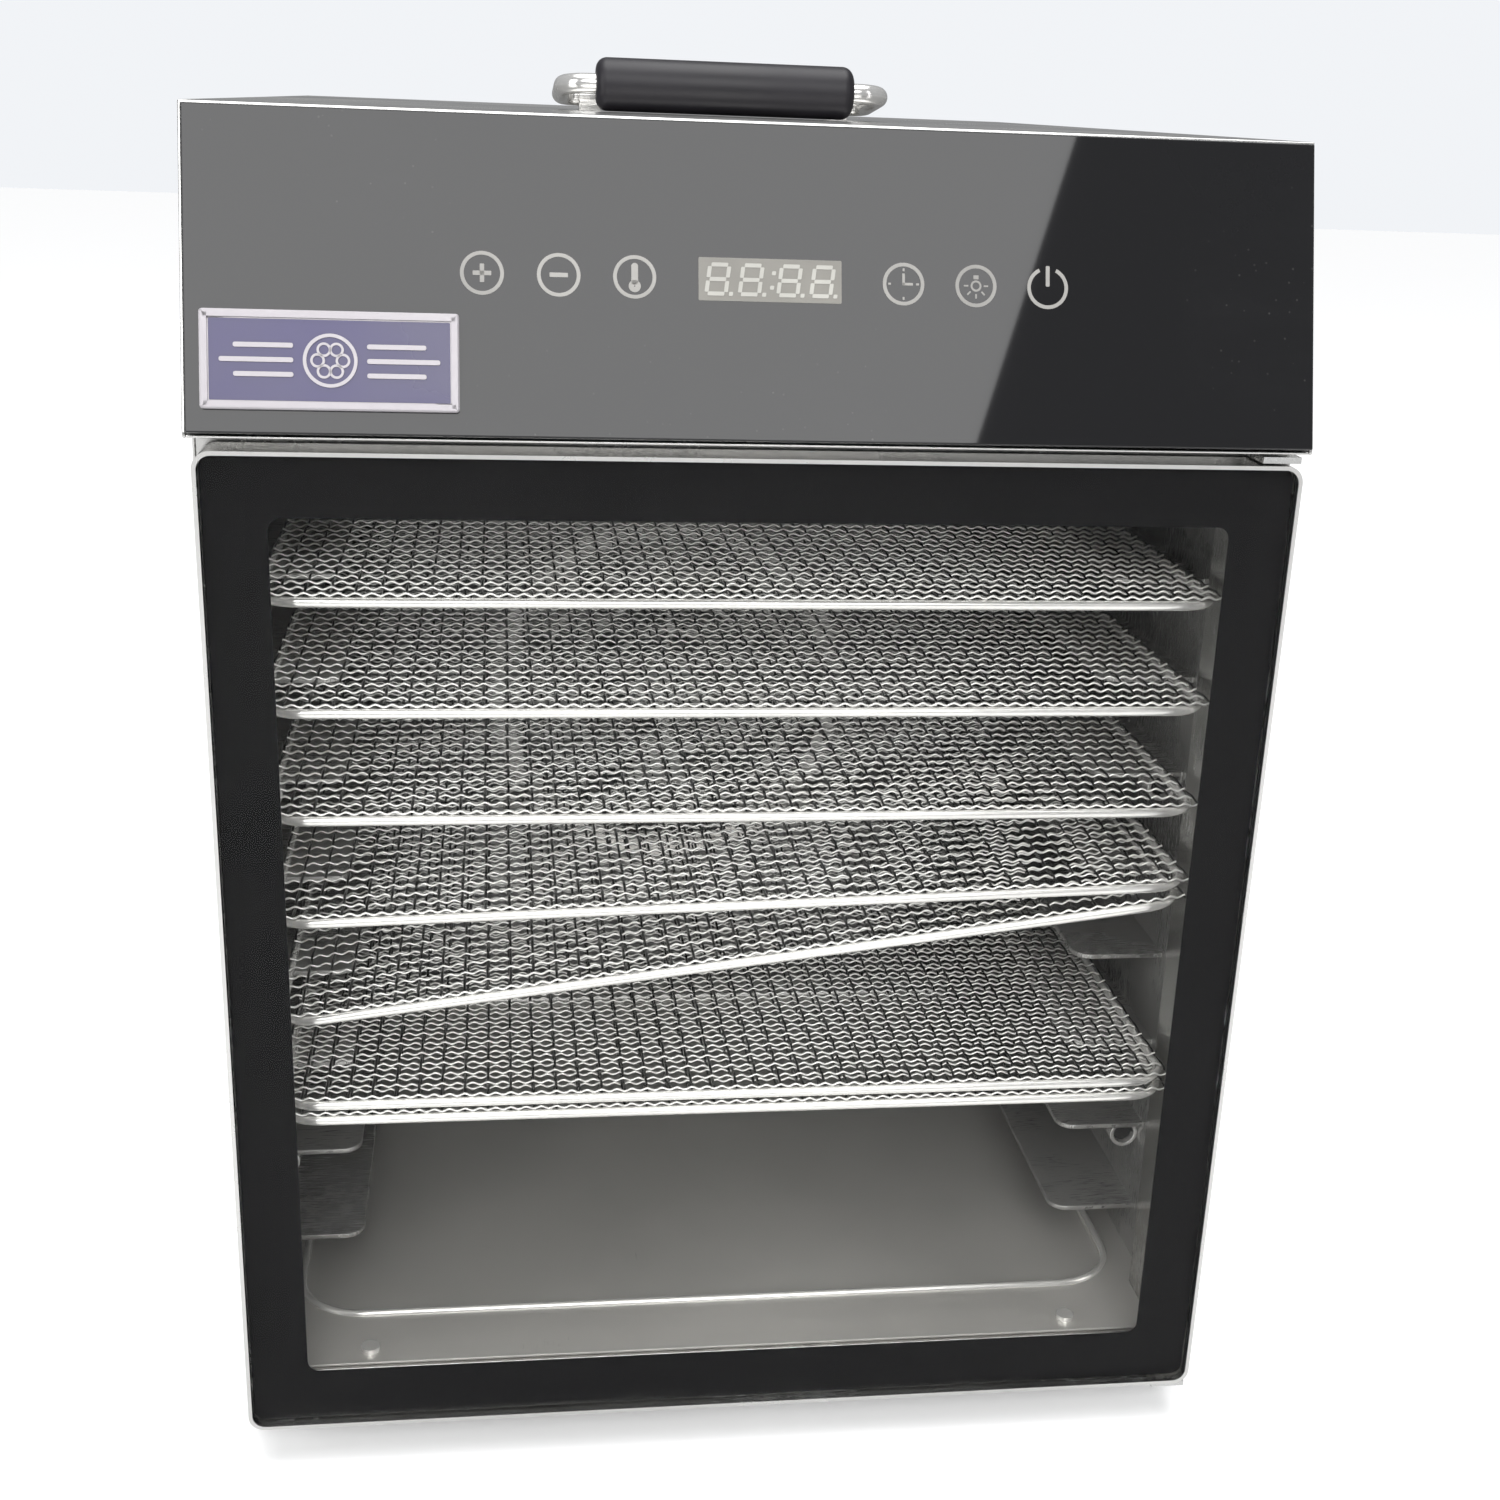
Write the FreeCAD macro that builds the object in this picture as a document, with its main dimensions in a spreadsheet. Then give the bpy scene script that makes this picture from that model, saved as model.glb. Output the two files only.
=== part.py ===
import FreeCAD, Part
import os
import Sketcher

# A cabinet food dehydrator: a steel box with a glazed door hinged on the right, eight pairs of
# tray ledges with seven loose mesh trays, a fan and a ring heater behind a rear baffle, a sloping
# glass control front and a folding bail handle on the top.
# The frame is X to the right, the door faces -Y, Z up, and the floor it stands on is Z = 0.

doc = FreeCAD.newDocument("food_dehydrator")
size = doc.addObject("Spreadsheet::Sheet", "Size")

driving_sizes = {
    # cabinet
    "overall_depth": 450.0,
    "body_width": 344.0,
    "body_height": 441.5,
    "foot_height": 12.0,
    "foot_radius": 11.0,
    "foot_inset": 32.0,
    "sheet": 1.0,
    "gland_projection": 8.0,
    # control front
    "panel_width": 341.5,
    "panel_slope": 94.4,
    "panel_lean": 17.5,
    "panel_glass": 3.0,
    "panel_gap": 5.8,
    "panel_overhang": 2.8,
    "panel_top_margin": 0.5,
    "shelf_drop": 1.2,
    "housing_inset": 2.0,
    "housing_depth": 14.0,
    "housing_wall": 2.0,
    "mark_height": 47.9,
    "mark_first": 40.6,
    "mark_pitch": 22.4,
    "mark_radius": 6.35,
    "board_width": 200.0,
    "board_height": 34.0,
    "board_thickness": 1.6,
    "board_setback": 6.4,
    "display_width": 46.0,
    "display_height": 16.0,
    "badge_left": 4.6,
    "badge_foot": 6.8,
    "badge_width": 74.0,
    "badge_height": 28.7,
    "badge_thickness": 1.6,
    # door
    "door_reveal": 2.0,
    "door_rise": 3.0,
    "door_thickness": 16.0,
    "door_clearance": 2.5,
    "door_corner": 5.5,
    "trim_wall": 1.0,
    "trim_rim": 1.3,
    "trim_lip": 0.8,
    "trim_return": 10.0,
    "glass_thickness": 4.0,
    "glass_play": 0.1,
    "pin_inset": 5.0,
    "pin_setback": 10.2,
    "pin_radius": 2.0,
    "pin_play": 0.05,
    "pin_engagement": 8.0,
    "bush_radius": 3.9,
    "bracket_thickness": 2.0,
    "bracket_play": 0.5,
    "bracket_width": 13.0,
    "seal_width": 2.6,
    "seal_gap": 0.2,
    "magnet_radius": 3.0,
    "magnet_length": 6.0,
    "magnet_spacing": 148.0,
    # chamber
    "opening_width": 324.0,
    "sill_rise": 11.0,
    "header_drop": 22.0,
    "opening_return": 32.0,
    "sill_return": 12.0,
    "chamber_width": 336.0,
    "rear_space": 107.0,
    "fan_space": 52.0,
    "floor_setback": 1.5,
    "drip_setback": 31.5,
    "drip_margin": 18.0,
    "drip_side_margin": 4.0,
    "drip_depth": 3.0,
    "drip_corner": 25.0,
    "ledge_count": 8,
    "ledge_first": 22.0,
    "ledge_last": 37.5,
    "ledge_width": 34.0,
    "ledge_thickness": 2.0,
    "ledge_setback": 51.5,
    "ledge_rear_gap": 7.0,
    "ledge_corner": 7.0,
    "tube_radius": 5.5,
    "tube_bore": 4.1,
    "tube_length": 12.0,
    "tube_setback": 5.0,
    # trays
    "tray_side_gap": 9.0,
    "tray_front_gap": 2.5,
    "tray_rear_gap": 10.0,
    "tray_rod": 3.4,
    "tray_corner": 14.0,
    "mesh_thickness": 2.4,
    "mesh_weld": 0.3,
    "mesh_rim": 2.4,
    "mesh_bars": 11,
    "rest_gap": 0.3,
    # fan and heat
    "fan_opening": 78.0,
    "fan_radius": 70.0,
    "fan_setback": 8.0,
    "fan_depth": 20.0,
    "blade_count": 6,
    "hub_radius": 16.0,
    "shaft_radius": 3.0,
    "shaft_play": 0.05,
    "motor_radius": 30.0,
    "motor_length": 38.0,
    "guard_thickness": 2.0,
    "guard_margin": 8.0,
    "guard_wire": 2.2,
    "heater_margin": 10.0,
    "heater_tube": 3.5,
    "heater_setback": 20.0,
    "heater_leg_offset": 14.0,
    "probe_radius": 2.5,
    "lamp_radius": 18.0,
    "lamp_setback": 110.0,
    # handle
    "handle_setback": 190.8,
    "handle_reach": 38.0,
    "handle_half": 57.0,
    "handle_stub": 15.0,
    "handle_bend": 9.0,
    "handle_elbow": 5.0,
    "rod_radius": 3.5,
    "rod_play": 0.05,
    "grip_radius": 9.0,
    "grip_length": 92.0,
    "grip_round": 4.0,
    "knuckle_radius": 5.0,
    "knuckle_width": 8.0,
    "bracket_plate": 1.5,
    # fasteners
    "screw_head_radius": 3.4,
    "screw_head": 1.8,
    "screw_radius": 1.6,
    "screw_length": 7.0,
    "screw_flange": 14.0,
}

for row, (alias, value) in enumerate(driving_sizes.items(), start=1):
    size.set(f"A{row}", alias)
    size.set(f"B{row}", str(value))
    size.setAlias(f"B{row}", alias)
doc.recompute()


# Planes and heights that several pieces share, as expressions of the sheet's values.
front = "(-Size.overall_depth / 2)"
rear = "(Size.overall_depth / 2)"
rear_face = f"({rear} - Size.gland_projection)"
door_front = f"({front} + Size.panel_overhang)"
door_back = f"({door_front} + Size.door_thickness)"
frame_face = f"({door_back} + Size.door_clearance)"
baffle = f"({rear_face} - Size.rear_space)"
bulkhead = f"({baffle} + Size.fan_space)"
return_end = f"({frame_face} + Size.opening_return)"
ledge_front = f"({frame_face} + Size.ledge_setback)"

base = "Size.foot_height"
top = f"({base} + Size.body_height)"
panel_foot = f"({top} - Size.panel_top_margin - Size.panel_slope * cos(Size.panel_lean))"
shelf_top = f"({panel_foot} - Size.shelf_drop)"
shelf_under = f"({shelf_top} - Size.sheet)"
door_foot = f"({base} + Size.door_rise)"
door_top = f"({panel_foot} - Size.panel_gap)"
opening_foot = f"({door_foot} + Size.sill_rise)"
opening_top = f"({panel_foot} - Size.header_drop)"
floor_top = f"({opening_foot} + Size.sheet)"
ceiling = f"({opening_top} + Size.sheet)"
chamber_middle = f"(({floor_top} + {ceiling}) / 2)"
door_middle = f"(({door_foot} + {door_top}) / 2)"

body_half = "(Size.body_width / 2)"
inner_half = f"({body_half} - Size.sheet)"
door_half = f"({body_half} - Size.door_reveal)"
opening_half = "(Size.opening_width / 2)"
chamber_half = "(Size.chamber_width / 2)"
pin_x = f"({door_half} - Size.pin_inset)"
pin_y = f"({door_front} + Size.pin_setback)"

heater_radius = "(Size.fan_opening + Size.heater_margin)"
ledge_pitch = f"(({ceiling} - {floor_top} - Size.ledge_first - Size.ledge_last) / (Size.ledge_count - 1))"
tray_half = f"({chamber_half} - Size.tray_side_gap)"
tray_front = f"({frame_face} + Size.tray_front_gap)"
tray_rear = f"({baffle} - Size.tray_rear_gap)"
tray_depth = f"({tray_rear} - {tray_front})"
tray_middle = f"(({tray_rear} + {tray_front}) / 2)"
rod_half = f"({tray_half} - Size.tray_rod / 2)"
tray_height = "(Size.tray_rod + Size.mesh_thickness - Size.mesh_weld)"

handle_y = f"({front} + Size.handle_setback)"
handle_z = f"({top} + Size.knuckle_radius)"


def number(expression):
    """The value of an expression of the sheet's cells."""
    return float(size.evalExpression(expression))


def rectangle(x_low, x_high, y_low, y_high, radius=None):
    """A closed outline with square or rounded corners."""
    corners = [(x_low, y_low), (x_high, y_low), (x_high, y_high), (x_low, y_high)]
    return {"points": [(x, y, radius) for x, y in corners], "closed": True}


def polygon(points):
    """A closed outline through points; a third value rounds that corner, which must be square."""
    return {"points": [tuple(point) + (None,) * (3 - len(point)) for point in points], "closed": True}


def path(points):
    """An open line through points; a third value rounds that corner, which must be square."""
    return dict(polygon(points), closed=False)


def circle(x, y, radius):
    return {"centre": (x, y), "radius": radius}


def pin_point(sketch, element, end, place):
    """Fix one end of an element to a place given by two expressions."""
    for kind, expression in zip(("DistanceX", "DistanceY"), place):
        index = sketch.addConstraint(Sketcher.Constraint(kind, element, end, number(expression)))
        sketch.setExpression(f"Constraints[{index}]", expression)


def draw_circle(sketch, shape):
    centre = FreeCAD.Vector(number(shape["centre"][0]), number(shape["centre"][1]), 0)
    radius = number(shape["radius"])
    element = sketch.addGeometry(Part.Circle(centre, FreeCAD.Vector(0, 0, 1), radius), False)
    pin_point(sketch, element, 3, shape["centre"])
    index = sketch.addConstraint(Sketcher.Constraint("Radius", element, radius))
    sketch.setExpression(f"Constraints[{index}]", shape["radius"])


def corner_ends(before, corner, after):
    """The two places where a square corner's rounding starts and ends."""
    ends = []
    for neighbour in (before, after):
        place = []
        for axis in (0, 1):
            step = number(neighbour[axis]) - number(corner[axis])
            sign = "+" if step > 0 else "-"
            place.append(corner[axis] if abs(step) < 1e-9 else f"({corner[axis]} {sign} {corner[2]})")
        ends.append(tuple(place))
    return ends


def draw_outline(sketch, shape):
    """Straight lines between the points, with an arc at every rounded corner."""
    points = shape["points"]
    count = len(points)
    corners = []
    for i, point in enumerate(points):
        inside = shape["closed"] or 0 < i < count - 1
        if point[2] is not None and inside:
            corners.append(corner_ends(points[i - 1], point, points[(i + 1) % count]))
        else:
            corners.append([point[:2], point[:2]])
    spans = count if shape["closed"] else count - 1
    lines = []
    for i in range(spans):
        start = [number(value) for value in corners[i][1]]
        end = [number(value) for value in corners[(i + 1) % count][0]]
        line = Part.LineSegment(FreeCAD.Vector(*start, 0), FreeCAD.Vector(*end, 0))
        lines.append(sketch.addGeometry(line, False))
    for i, line in enumerate(lines):
        pin_point(sketch, line, 1, corners[i][1])
        following = (i + 1) % count
        rounded = corners[following][0] != corners[following][1]
        last = not shape["closed"] and i == spans - 1
        if rounded or last:
            pin_point(sketch, line, 2, corners[following][0])
        else:
            sketch.addConstraint(Sketcher.Constraint("Coincident", line, 2, lines[following], 1))
        if rounded and not last:
            draw_corner(sketch, points[following], corners[following], line, lines[following])


def draw_corner(sketch, corner, ends, line_in, line_out):
    """A quarter circle that joins the end of one line to the start of the next."""
    vertex = FreeCAD.Vector(number(corner[0]), number(corner[1]), 0)
    start = FreeCAD.Vector(number(ends[0][0]), number(ends[0][1]), 0)
    end = FreeCAD.Vector(number(ends[1][0]), number(ends[1][1]), 0)
    centre = start + end - vertex
    middle = centre + (vertex - centre).normalize() * number(corner[2])
    arc = Part.Arc(start, middle, end)
    element = sketch.addGeometry(arc, False)
    turned_left = (vertex - start).cross(end - vertex).z > 0
    first, second = (1, 2) if turned_left else (2, 1)
    sketch.addConstraint(Sketcher.Constraint("Coincident", element, first, line_in, 2))
    sketch.addConstraint(Sketcher.Constraint("Coincident", element, second, line_out, 1))
    index = sketch.addConstraint(Sketcher.Constraint("Radius", element, number(corner[2])))
    sketch.setExpression(f"Constraints[{index}]", corner[2])


def new_body(label):
    body = doc.addObject("PartDesign::Body", label)
    body.Label = label
    return body


def origin_part(body, role):
    return next(item for item in body.Origin.OriginFeatures if item.Role == role)


def new_sketch(body, plane, level, *shapes):
    """A sketch on one of the body's planes, moved along that plane's normal to a level."""
    sketch = body.newObject("Sketcher::SketchObject", f"{body.Label}_sketch")
    sketch.AttachmentSupport = [(origin_part(body, f"{plane}_Plane"), "")]
    sketch.MapMode = "FlatFace"
    sketch.setExpression("AttachmentOffset.Base.z", level)
    for shape in shapes:
        if "centre" in shape:
            draw_circle(sketch, shape)
        else:
            draw_outline(sketch, shape)
    return sketch


def feature(body, kind, plane, low, high, shapes):
    """A Pad or Pocket between two levels of X, Y or Z. The XZ plane's normal points along -Y."""
    level = f"-({high})" if plane == "XZ" else low
    sketch = new_sketch(body, plane, level, *shapes)
    item = body.newObject(f"PartDesign::{kind}", f"{body.Label}_{kind.lower()}")
    item.Profile = sketch
    item.setExpression("Length", f"({high}) - ({low})")
    item.Reversed = kind == "Pocket"
    return item


def pad(body, plane, low, high, *shapes):
    return feature(body, "Pad", plane, low, high, shapes)


def pocket(body, plane, low, high, *shapes):
    return feature(body, "Pocket", plane, low, high, shapes)


def repeat_along(body, item, axis, length, occurrences):
    """A row of copies of a feature that ends at the given length."""
    row_of = body.newObject("PartDesign::LinearPattern", f"{body.Label}_row")
    row_of.Originals = [item]
    row_of.Direction = (origin_part(body, f"{axis}_Axis"), [""])
    row_of.setExpression("Length", length)
    row_of.setExpression("Occurrences", occurrences)
    body.Tip = row_of
    return row_of


def repeat_round(body, item, axis, occurrences):
    """Copies of a feature spread evenly round an axis."""
    ring = body.newObject("PartDesign::PolarPattern", f"{body.Label}_ring")
    ring.Originals = [item]
    ring.Axis = (origin_part(body, f"{axis}_Axis"), [""])
    ring.Angle = 360
    ring.setExpression("Occurrences", occurrences)
    body.Tip = ring
    return ring


def place(item, x="0", y="0", z="0", axis=None, angle="0"):
    """Bind a Placement to expressions."""
    if axis is not None:
        turn = FreeCAD.Rotation(FreeCAD.Vector(*axis), number(angle) or 1.0)
        item.Placement = FreeCAD.Placement(FreeCAD.Vector(0, 0, 0), turn)
        item.setExpression("Placement.Rotation.Angle", angle)
    for name, expression in (("x", x), ("y", y), ("z", z)):
        item.setExpression(f"Placement.Base.{name}", expression)
    return item


def on_panel(item):
    """Panel pieces are drawn flat: X across, Y up the slope, Z out of the glass."""
    return place(item, "0", front, panel_foot, (1, 0, 0), "90 - Size.panel_lean")


def box(label, x_low, x_high, y_low, y_high, z_low, z_high):
    item = doc.addObject("Part::Box", label)
    item.Label = label
    item.setExpression("Length", f"({x_high}) - ({x_low})")
    item.setExpression("Width", f"({y_high}) - ({y_low})")
    item.setExpression("Height", f"({z_high}) - ({z_low})")
    return place(item, x_low, y_low, z_low)


def cylinder(label, x, y, z, radius, height, axis=None, angle="0"):
    """A round bar that rises along Z from its foot, or along the direction Z is turned to."""
    item = doc.addObject("Part::Cylinder", label)
    item.Label = label
    item.setExpression("Radius", radius)
    item.setExpression("Height", height)
    return place(item, x, y, z, axis, angle)


def cylinder_back(label, x, y, z, radius, length):
    """A round bar that runs along +Y from its front end."""
    return cylinder(label, x, y, z, radius, length, (1, 0, 0), "-90")


def fused(label, *pieces):
    item = doc.addObject("Part::MultiFuse", label)
    item.Label = label
    item.Shapes = list(pieces)
    return item


def group(label, *pieces):
    """Separate solids that share one node."""
    item = doc.addObject("Part::Compound", label)
    item.Label = label
    item.Links = list(pieces)
    return item


def drilled(label, whole, *holes):
    item = doc.addObject("Part::Cut", label)
    item.Label = label
    item.Base = whole
    item.Tool = holes[0] if len(holes) == 1 else group(f"{label}_holes", *holes)
    return item


def steel_sheet(label, plane, low, high, outline, *holes):
    body = new_body(label)
    pad(body, plane, low, high, outline)
    if holes:
        pocket(body, plane, low, high, *holes)
    return body


def mirrored_x(expression, side):
    return expression if side > 0 else f"(-({expression}))"


nodes = []


def keep(item):
    nodes.append(item)
    return item


# --- cabinet -------------------------------------------------------------------------------

cheek_front = f"({front} + Size.panel_glass / cos(Size.panel_lean))"


def outer_wrap():
    """Top and sides folded from one sheet; the cheeks lean back beside the control front."""
    cheek_top = f"({cheek_front} + ({top} - {panel_foot}) * tan(Size.panel_lean))"
    body = new_body("outer_wrap")
    side = polygon([
        (frame_face, base),
        (rear_face, base),
        (rear_face, top),
        (cheek_top, top),
        (cheek_front, panel_foot),
        (cheek_front, shelf_under),
        (frame_face, shelf_under),
    ])
    pad(body, "YZ", f"-{body_half}", body_half, side)
    hollow = rectangle(f"-{inner_half}", inner_half, f"({base} - 1)", f"({top} - Size.sheet)")
    pocket(body, "XZ", front, rear, hollow)
    flange_rear = f"({rear_face} - Size.sheet)"
    flange_foot = f"({base} + Size.sheet)"
    for edge, tip in ((f"-{inner_half}", f"(-{inner_half} + Size.screw_flange)"),
                      (f"({inner_half} - Size.screw_flange)", inner_half)):
        pad(body, "XZ", f"({flange_rear} - Size.sheet)", flange_rear,
            rectangle(edge, tip, flange_foot, f"({top} - Size.sheet)"))
    return body


def base_plate():
    outline = rectangle(f"-{inner_half}", inner_half, f"({frame_face} + Size.sheet)",
                        f"({rear_face} - Size.sheet)")
    return steel_sheet("base_plate", "XY", base, f"({base} + Size.sheet)", outline)


def gland_place():
    return "-130", f"({base} + 48)"


def rear_cover():
    """Back sheet with two rows of vent slots and the cord hole."""
    body = new_body("rear_cover")
    low = f"({rear_face} - Size.sheet)"
    outline = rectangle(f"-{inner_half}", inner_half, f"({base} + Size.sheet)", f"({top} - Size.sheet)")
    pad(body, "XZ", low, rear_face, outline)
    pocket(body, "XZ", low, rear_face, circle(*gland_place(), "7"))
    slot_row = [rectangle(f"({x} - 22)", f"({x} + 22)", f"({chamber_middle} - 70)",
                          f"({chamber_middle} - 65)", "2") for x in (-60, 0, 60)]
    slots = pocket(body, "XZ", low, rear_face, *slot_row)
    repeat_along(body, slots, "Z", "130", "11")
    return body


def rear_bulkhead():
    """Sheet between the fan space and the motor space."""
    outline = rectangle(f"-{inner_half}", inner_half, f"({base} + Size.sheet)", f"({top} - Size.sheet)")
    legs = [circle(x, leg_height(), "Size.heater_tube + 0.5") for x in leg_places()]
    shaft_hole = circle("0", chamber_middle, "Size.shaft_radius + 3")
    return steel_sheet("rear_bulkhead", "XZ", bulkhead, f"({bulkhead} + Size.sheet)", outline,
                       shaft_hole, *legs)


def front_frame():
    """Face sheet with the chamber opening, its folded return and a shelf under the control front."""
    body = new_body("front_frame")
    face_end = f"({frame_face} + Size.sheet)"
    pad(body, "XZ", frame_face, face_end, rectangle(f"-{inner_half}", inner_half, base, shelf_top))
    pad(body, "XZ", cheek_front, face_end, rectangle(f"-{inner_half}", inner_half, shelf_under, shelf_top))
    pad(body, "XZ", frame_face, return_end,
        rectangle(f"(-{opening_half} - Size.sheet)", f"({opening_half} + Size.sheet)",
                  f"({opening_foot} - Size.sheet)", f"({opening_top} + Size.sheet)"))
    pocket(body, "XZ", frame_face, return_end,
           rectangle(f"-{opening_half}", opening_half, opening_foot, opening_top))
    pocket(body, "XZ", f"({frame_face} + Size.sill_return)", return_end,
           rectangle(f"-{opening_half}", opening_half, f"({opening_foot} - Size.sheet)", opening_foot))
    return body


def rubber_feet():
    feet = []
    for x in (f"(-{body_half} + Size.foot_inset)", f"({body_half} - Size.foot_inset)"):
        for y in (f"({frame_face} + Size.foot_inset)", f"({rear_face} - Size.foot_inset)"):
            foot = doc.addObject("Part::Cone", "foot")
            foot.setExpression("Radius1", "Size.foot_radius - 2")
            foot.setExpression("Radius2", "Size.foot_radius")
            foot.setExpression("Height", base)
            feet.append(place(foot, x, y, "0"))
    return group("rubber_feet", *feet)


def rear_screws():
    screws = []
    for side in (-1, 1):
        x = mirrored_x(f"({inner_half} - 7)", side)
        for share in (0.04, 0.35, 0.65, 0.96):
            z = f"({base} + Size.body_height * {share})"
            head = cylinder_back("screw_head", x, rear_face, z, "Size.screw_head_radius",
                                 "Size.screw_head")
            shank = cylinder_back("screw_shank", x, f"({rear_face} - Size.screw_length)", z,
                                  "Size.screw_radius", "Size.screw_length")
            screws.append(fused("rear_screw", head, shank))
    return group("rear_screws", *screws)


def cord_gland():
    x, z = gland_place()
    flange = cylinder_back("gland_flange", x, rear_face, z, "9", "Size.gland_projection")
    barrel = cylinder_back("gland_barrel", x, f"({rear_face} - 8)", z, "6.9", "8")
    bore = cylinder_back("gland_bore", x, f"({rear_face} - 9)", z, "3.8", "Size.gland_projection + 10")
    return drilled("cord_gland", fused("gland_whole", flange, barrel), bore)


# --- chamber -------------------------------------------------------------------------------

def chamber_wall(label, side):
    """Side wall with its front flange and eight tray ledges with rounded inner corners."""
    body = new_body(label)
    inner = mirrored_x(chamber_half, side)
    outer = mirrored_x(f"({chamber_half} + Size.sheet)", side)
    edge = mirrored_x(f"({opening_half} + Size.sheet)", side)
    tip = mirrored_x(f"({chamber_half} - Size.ledge_width)", side)
    ledge_rear = f"({baffle} - Size.ledge_rear_gap)"
    first = f"({floor_top} + Size.ledge_first)"
    pad(body, "XY", floor_top, ceiling, polygon([
        (edge, return_end),
        (outer, return_end),
        (outer, bulkhead),
        (inner, bulkhead),
        (inner, f"({return_end} + Size.sheet)"),
        (edge, f"({return_end} + Size.sheet)"),
    ]))
    ledge = pad(body, "XY", f"({first} - Size.ledge_thickness)", first, polygon([
        (inner, ledge_front),
        (tip, ledge_front, "Size.ledge_corner"),
        (tip, ledge_rear, "Size.ledge_corner"),
        (inner, ledge_rear),
    ]))
    repeat_along(body, ledge, "Z", f"{ledge_pitch} * (Size.ledge_count - 1)", "Size.ledge_count")
    return body


def rack_tubes():
    """Short open sockets under the second and the sixth ledge on each wall."""
    tubes = []
    y = f"({ledge_front} + Size.tube_setback)"
    for side in (-1, 1):
        x = mirrored_x(f"({chamber_half} - Size.tube_radius)", side)
        for ledge in (1, 5):
            z = f"({ledge_height(ledge)} - Size.ledge_thickness - Size.tube_radius)"
            whole = cylinder_back("tube_whole", x, y, z, "Size.tube_radius", "Size.tube_length")
            bore = cylinder_back("tube_bore", x, y, z, "Size.tube_bore", "Size.tube_length - 1.5")
            tubes.append(drilled("tube", whole, bore))
    return group("rack_tubes", *tubes)


def chamber_ceiling():
    outline = rectangle(f"(-{chamber_half} - Size.sheet)", f"({chamber_half} + Size.sheet)",
                        f"({frame_face} + Size.sheet)", bulkhead)
    lamp = circle("0", f"({frame_face} + Size.lamp_setback)", "Size.lamp_radius")
    return steel_sheet("chamber_ceiling", "XY", ceiling, f"({ceiling} + Size.sheet)", outline, lamp)


def chamber_floor():
    """Floor sheet with a shallow pressed recess that catches drips."""
    body = new_body("chamber_floor")
    under = f"({floor_top} - Size.sheet)"
    pad(body, "XY", under, floor_top,
        rectangle(f"-{opening_half}", opening_half, f"({frame_face} + Size.floor_setback)",
                  return_end))
    pad(body, "XY", under, floor_top,
        rectangle(f"(-{chamber_half} - Size.sheet)", f"({chamber_half} + Size.sheet)", return_end, bulkhead))
    left = f"(-{opening_half} + Size.drip_side_margin)"
    right = f"({opening_half} - Size.drip_side_margin)"
    near = f"({frame_face} + Size.drip_setback)"
    far = f"({baffle} - Size.drip_margin)"
    pad(body, "XY", f"({under} - Size.drip_depth)", under,
        rectangle(left, right, near, far, "Size.drip_corner"))
    inset = "Size.sheet"
    pocket(body, "XY", f"({floor_top} - Size.drip_depth)", floor_top,
           rectangle(f"({left} + {inset})", f"({right} - {inset})", f"({near} + {inset})",
                     f"({far} - {inset})", f"(Size.drip_corner - {inset})"))
    return body


def floor_screws():
    screws = []
    for side in (-1, 1):
        x = mirrored_x("(Size.opening_width * 0.4)", side)
        y = f"({frame_face} + 9.5)"
        head = cylinder("screw_head", x, y, floor_top, "Size.screw_head_radius", "Size.screw_head")
        shank = cylinder("screw_shank", x, y, f"({floor_top} - Size.screw_length)",
                         "Size.screw_radius", "Size.screw_length")
        screws.append(fused("floor_screw", head, shank))
    return group("floor_screws", *screws)


def rear_baffle():
    """Sheet between the trays and the fan, with the fan opening and side air slots."""
    body = new_body("rear_baffle")
    low, high = baffle, f"({baffle} + Size.sheet)"
    pad(body, "XZ", low, high, rectangle(f"-{chamber_half}", chamber_half, floor_top, ceiling))
    pocket(body, "XZ", low, high, circle("0", chamber_middle, "Size.fan_opening"),
           circle(*probe_place(), "Size.probe_radius"))
    slots = []
    for side in (-1, 1):
        near = mirrored_x(f"({chamber_half} - 30)", side)
        far = mirrored_x(f"({chamber_half} - 10)", side)
        x_low, x_high = (near, far) if side > 0 else (far, near)
        slots.append(rectangle(x_low, x_high, f"({floor_top} + 30)", f"({floor_top} + 36)", "2.5"))
    row = pocket(body, "XZ", low, high, *slots)
    repeat_along(body, row, "Z", f"({ceiling} - {floor_top} - 66)", "9")
    return body


# --- fan, heat and light -------------------------------------------------------------------

def fan_guard():
    """Flat wire guard: rings on four spokes and a rim fixed to the baffle."""
    body = new_body("fan_guard")
    low, high = f"({baffle} - Size.guard_thickness)", baffle
    outer = "(Size.fan_opening + Size.guard_margin)"
    rings = []
    for share in (0.2, 0.4, 0.6, 0.8):
        middle = f"(Size.fan_opening * {share})"
        rings.append(circle("0", chamber_middle, f"({middle} + Size.guard_wire / 2)"))
        rings.append(circle("0", chamber_middle, f"({middle} - Size.guard_wire / 2)"))
    half = "Size.guard_wire / 2"
    pad(body, "XZ", low, high, rectangle(f"-{outer} + 1", f"{outer} - 1", f"({chamber_middle} - {half})",
                                         f"({chamber_middle} + {half})"))
    pad(body, "XZ", low, high, rectangle(f"-{half}", half, f"({chamber_middle} - {outer} + 1)",
                                         f"({chamber_middle} + {outer} - 1)"))
    pad(body, "XZ", low, high, circle("0", chamber_middle, outer),
        circle("0", chamber_middle, "(Size.fan_opening - 1)"), *rings)
    return body


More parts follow.
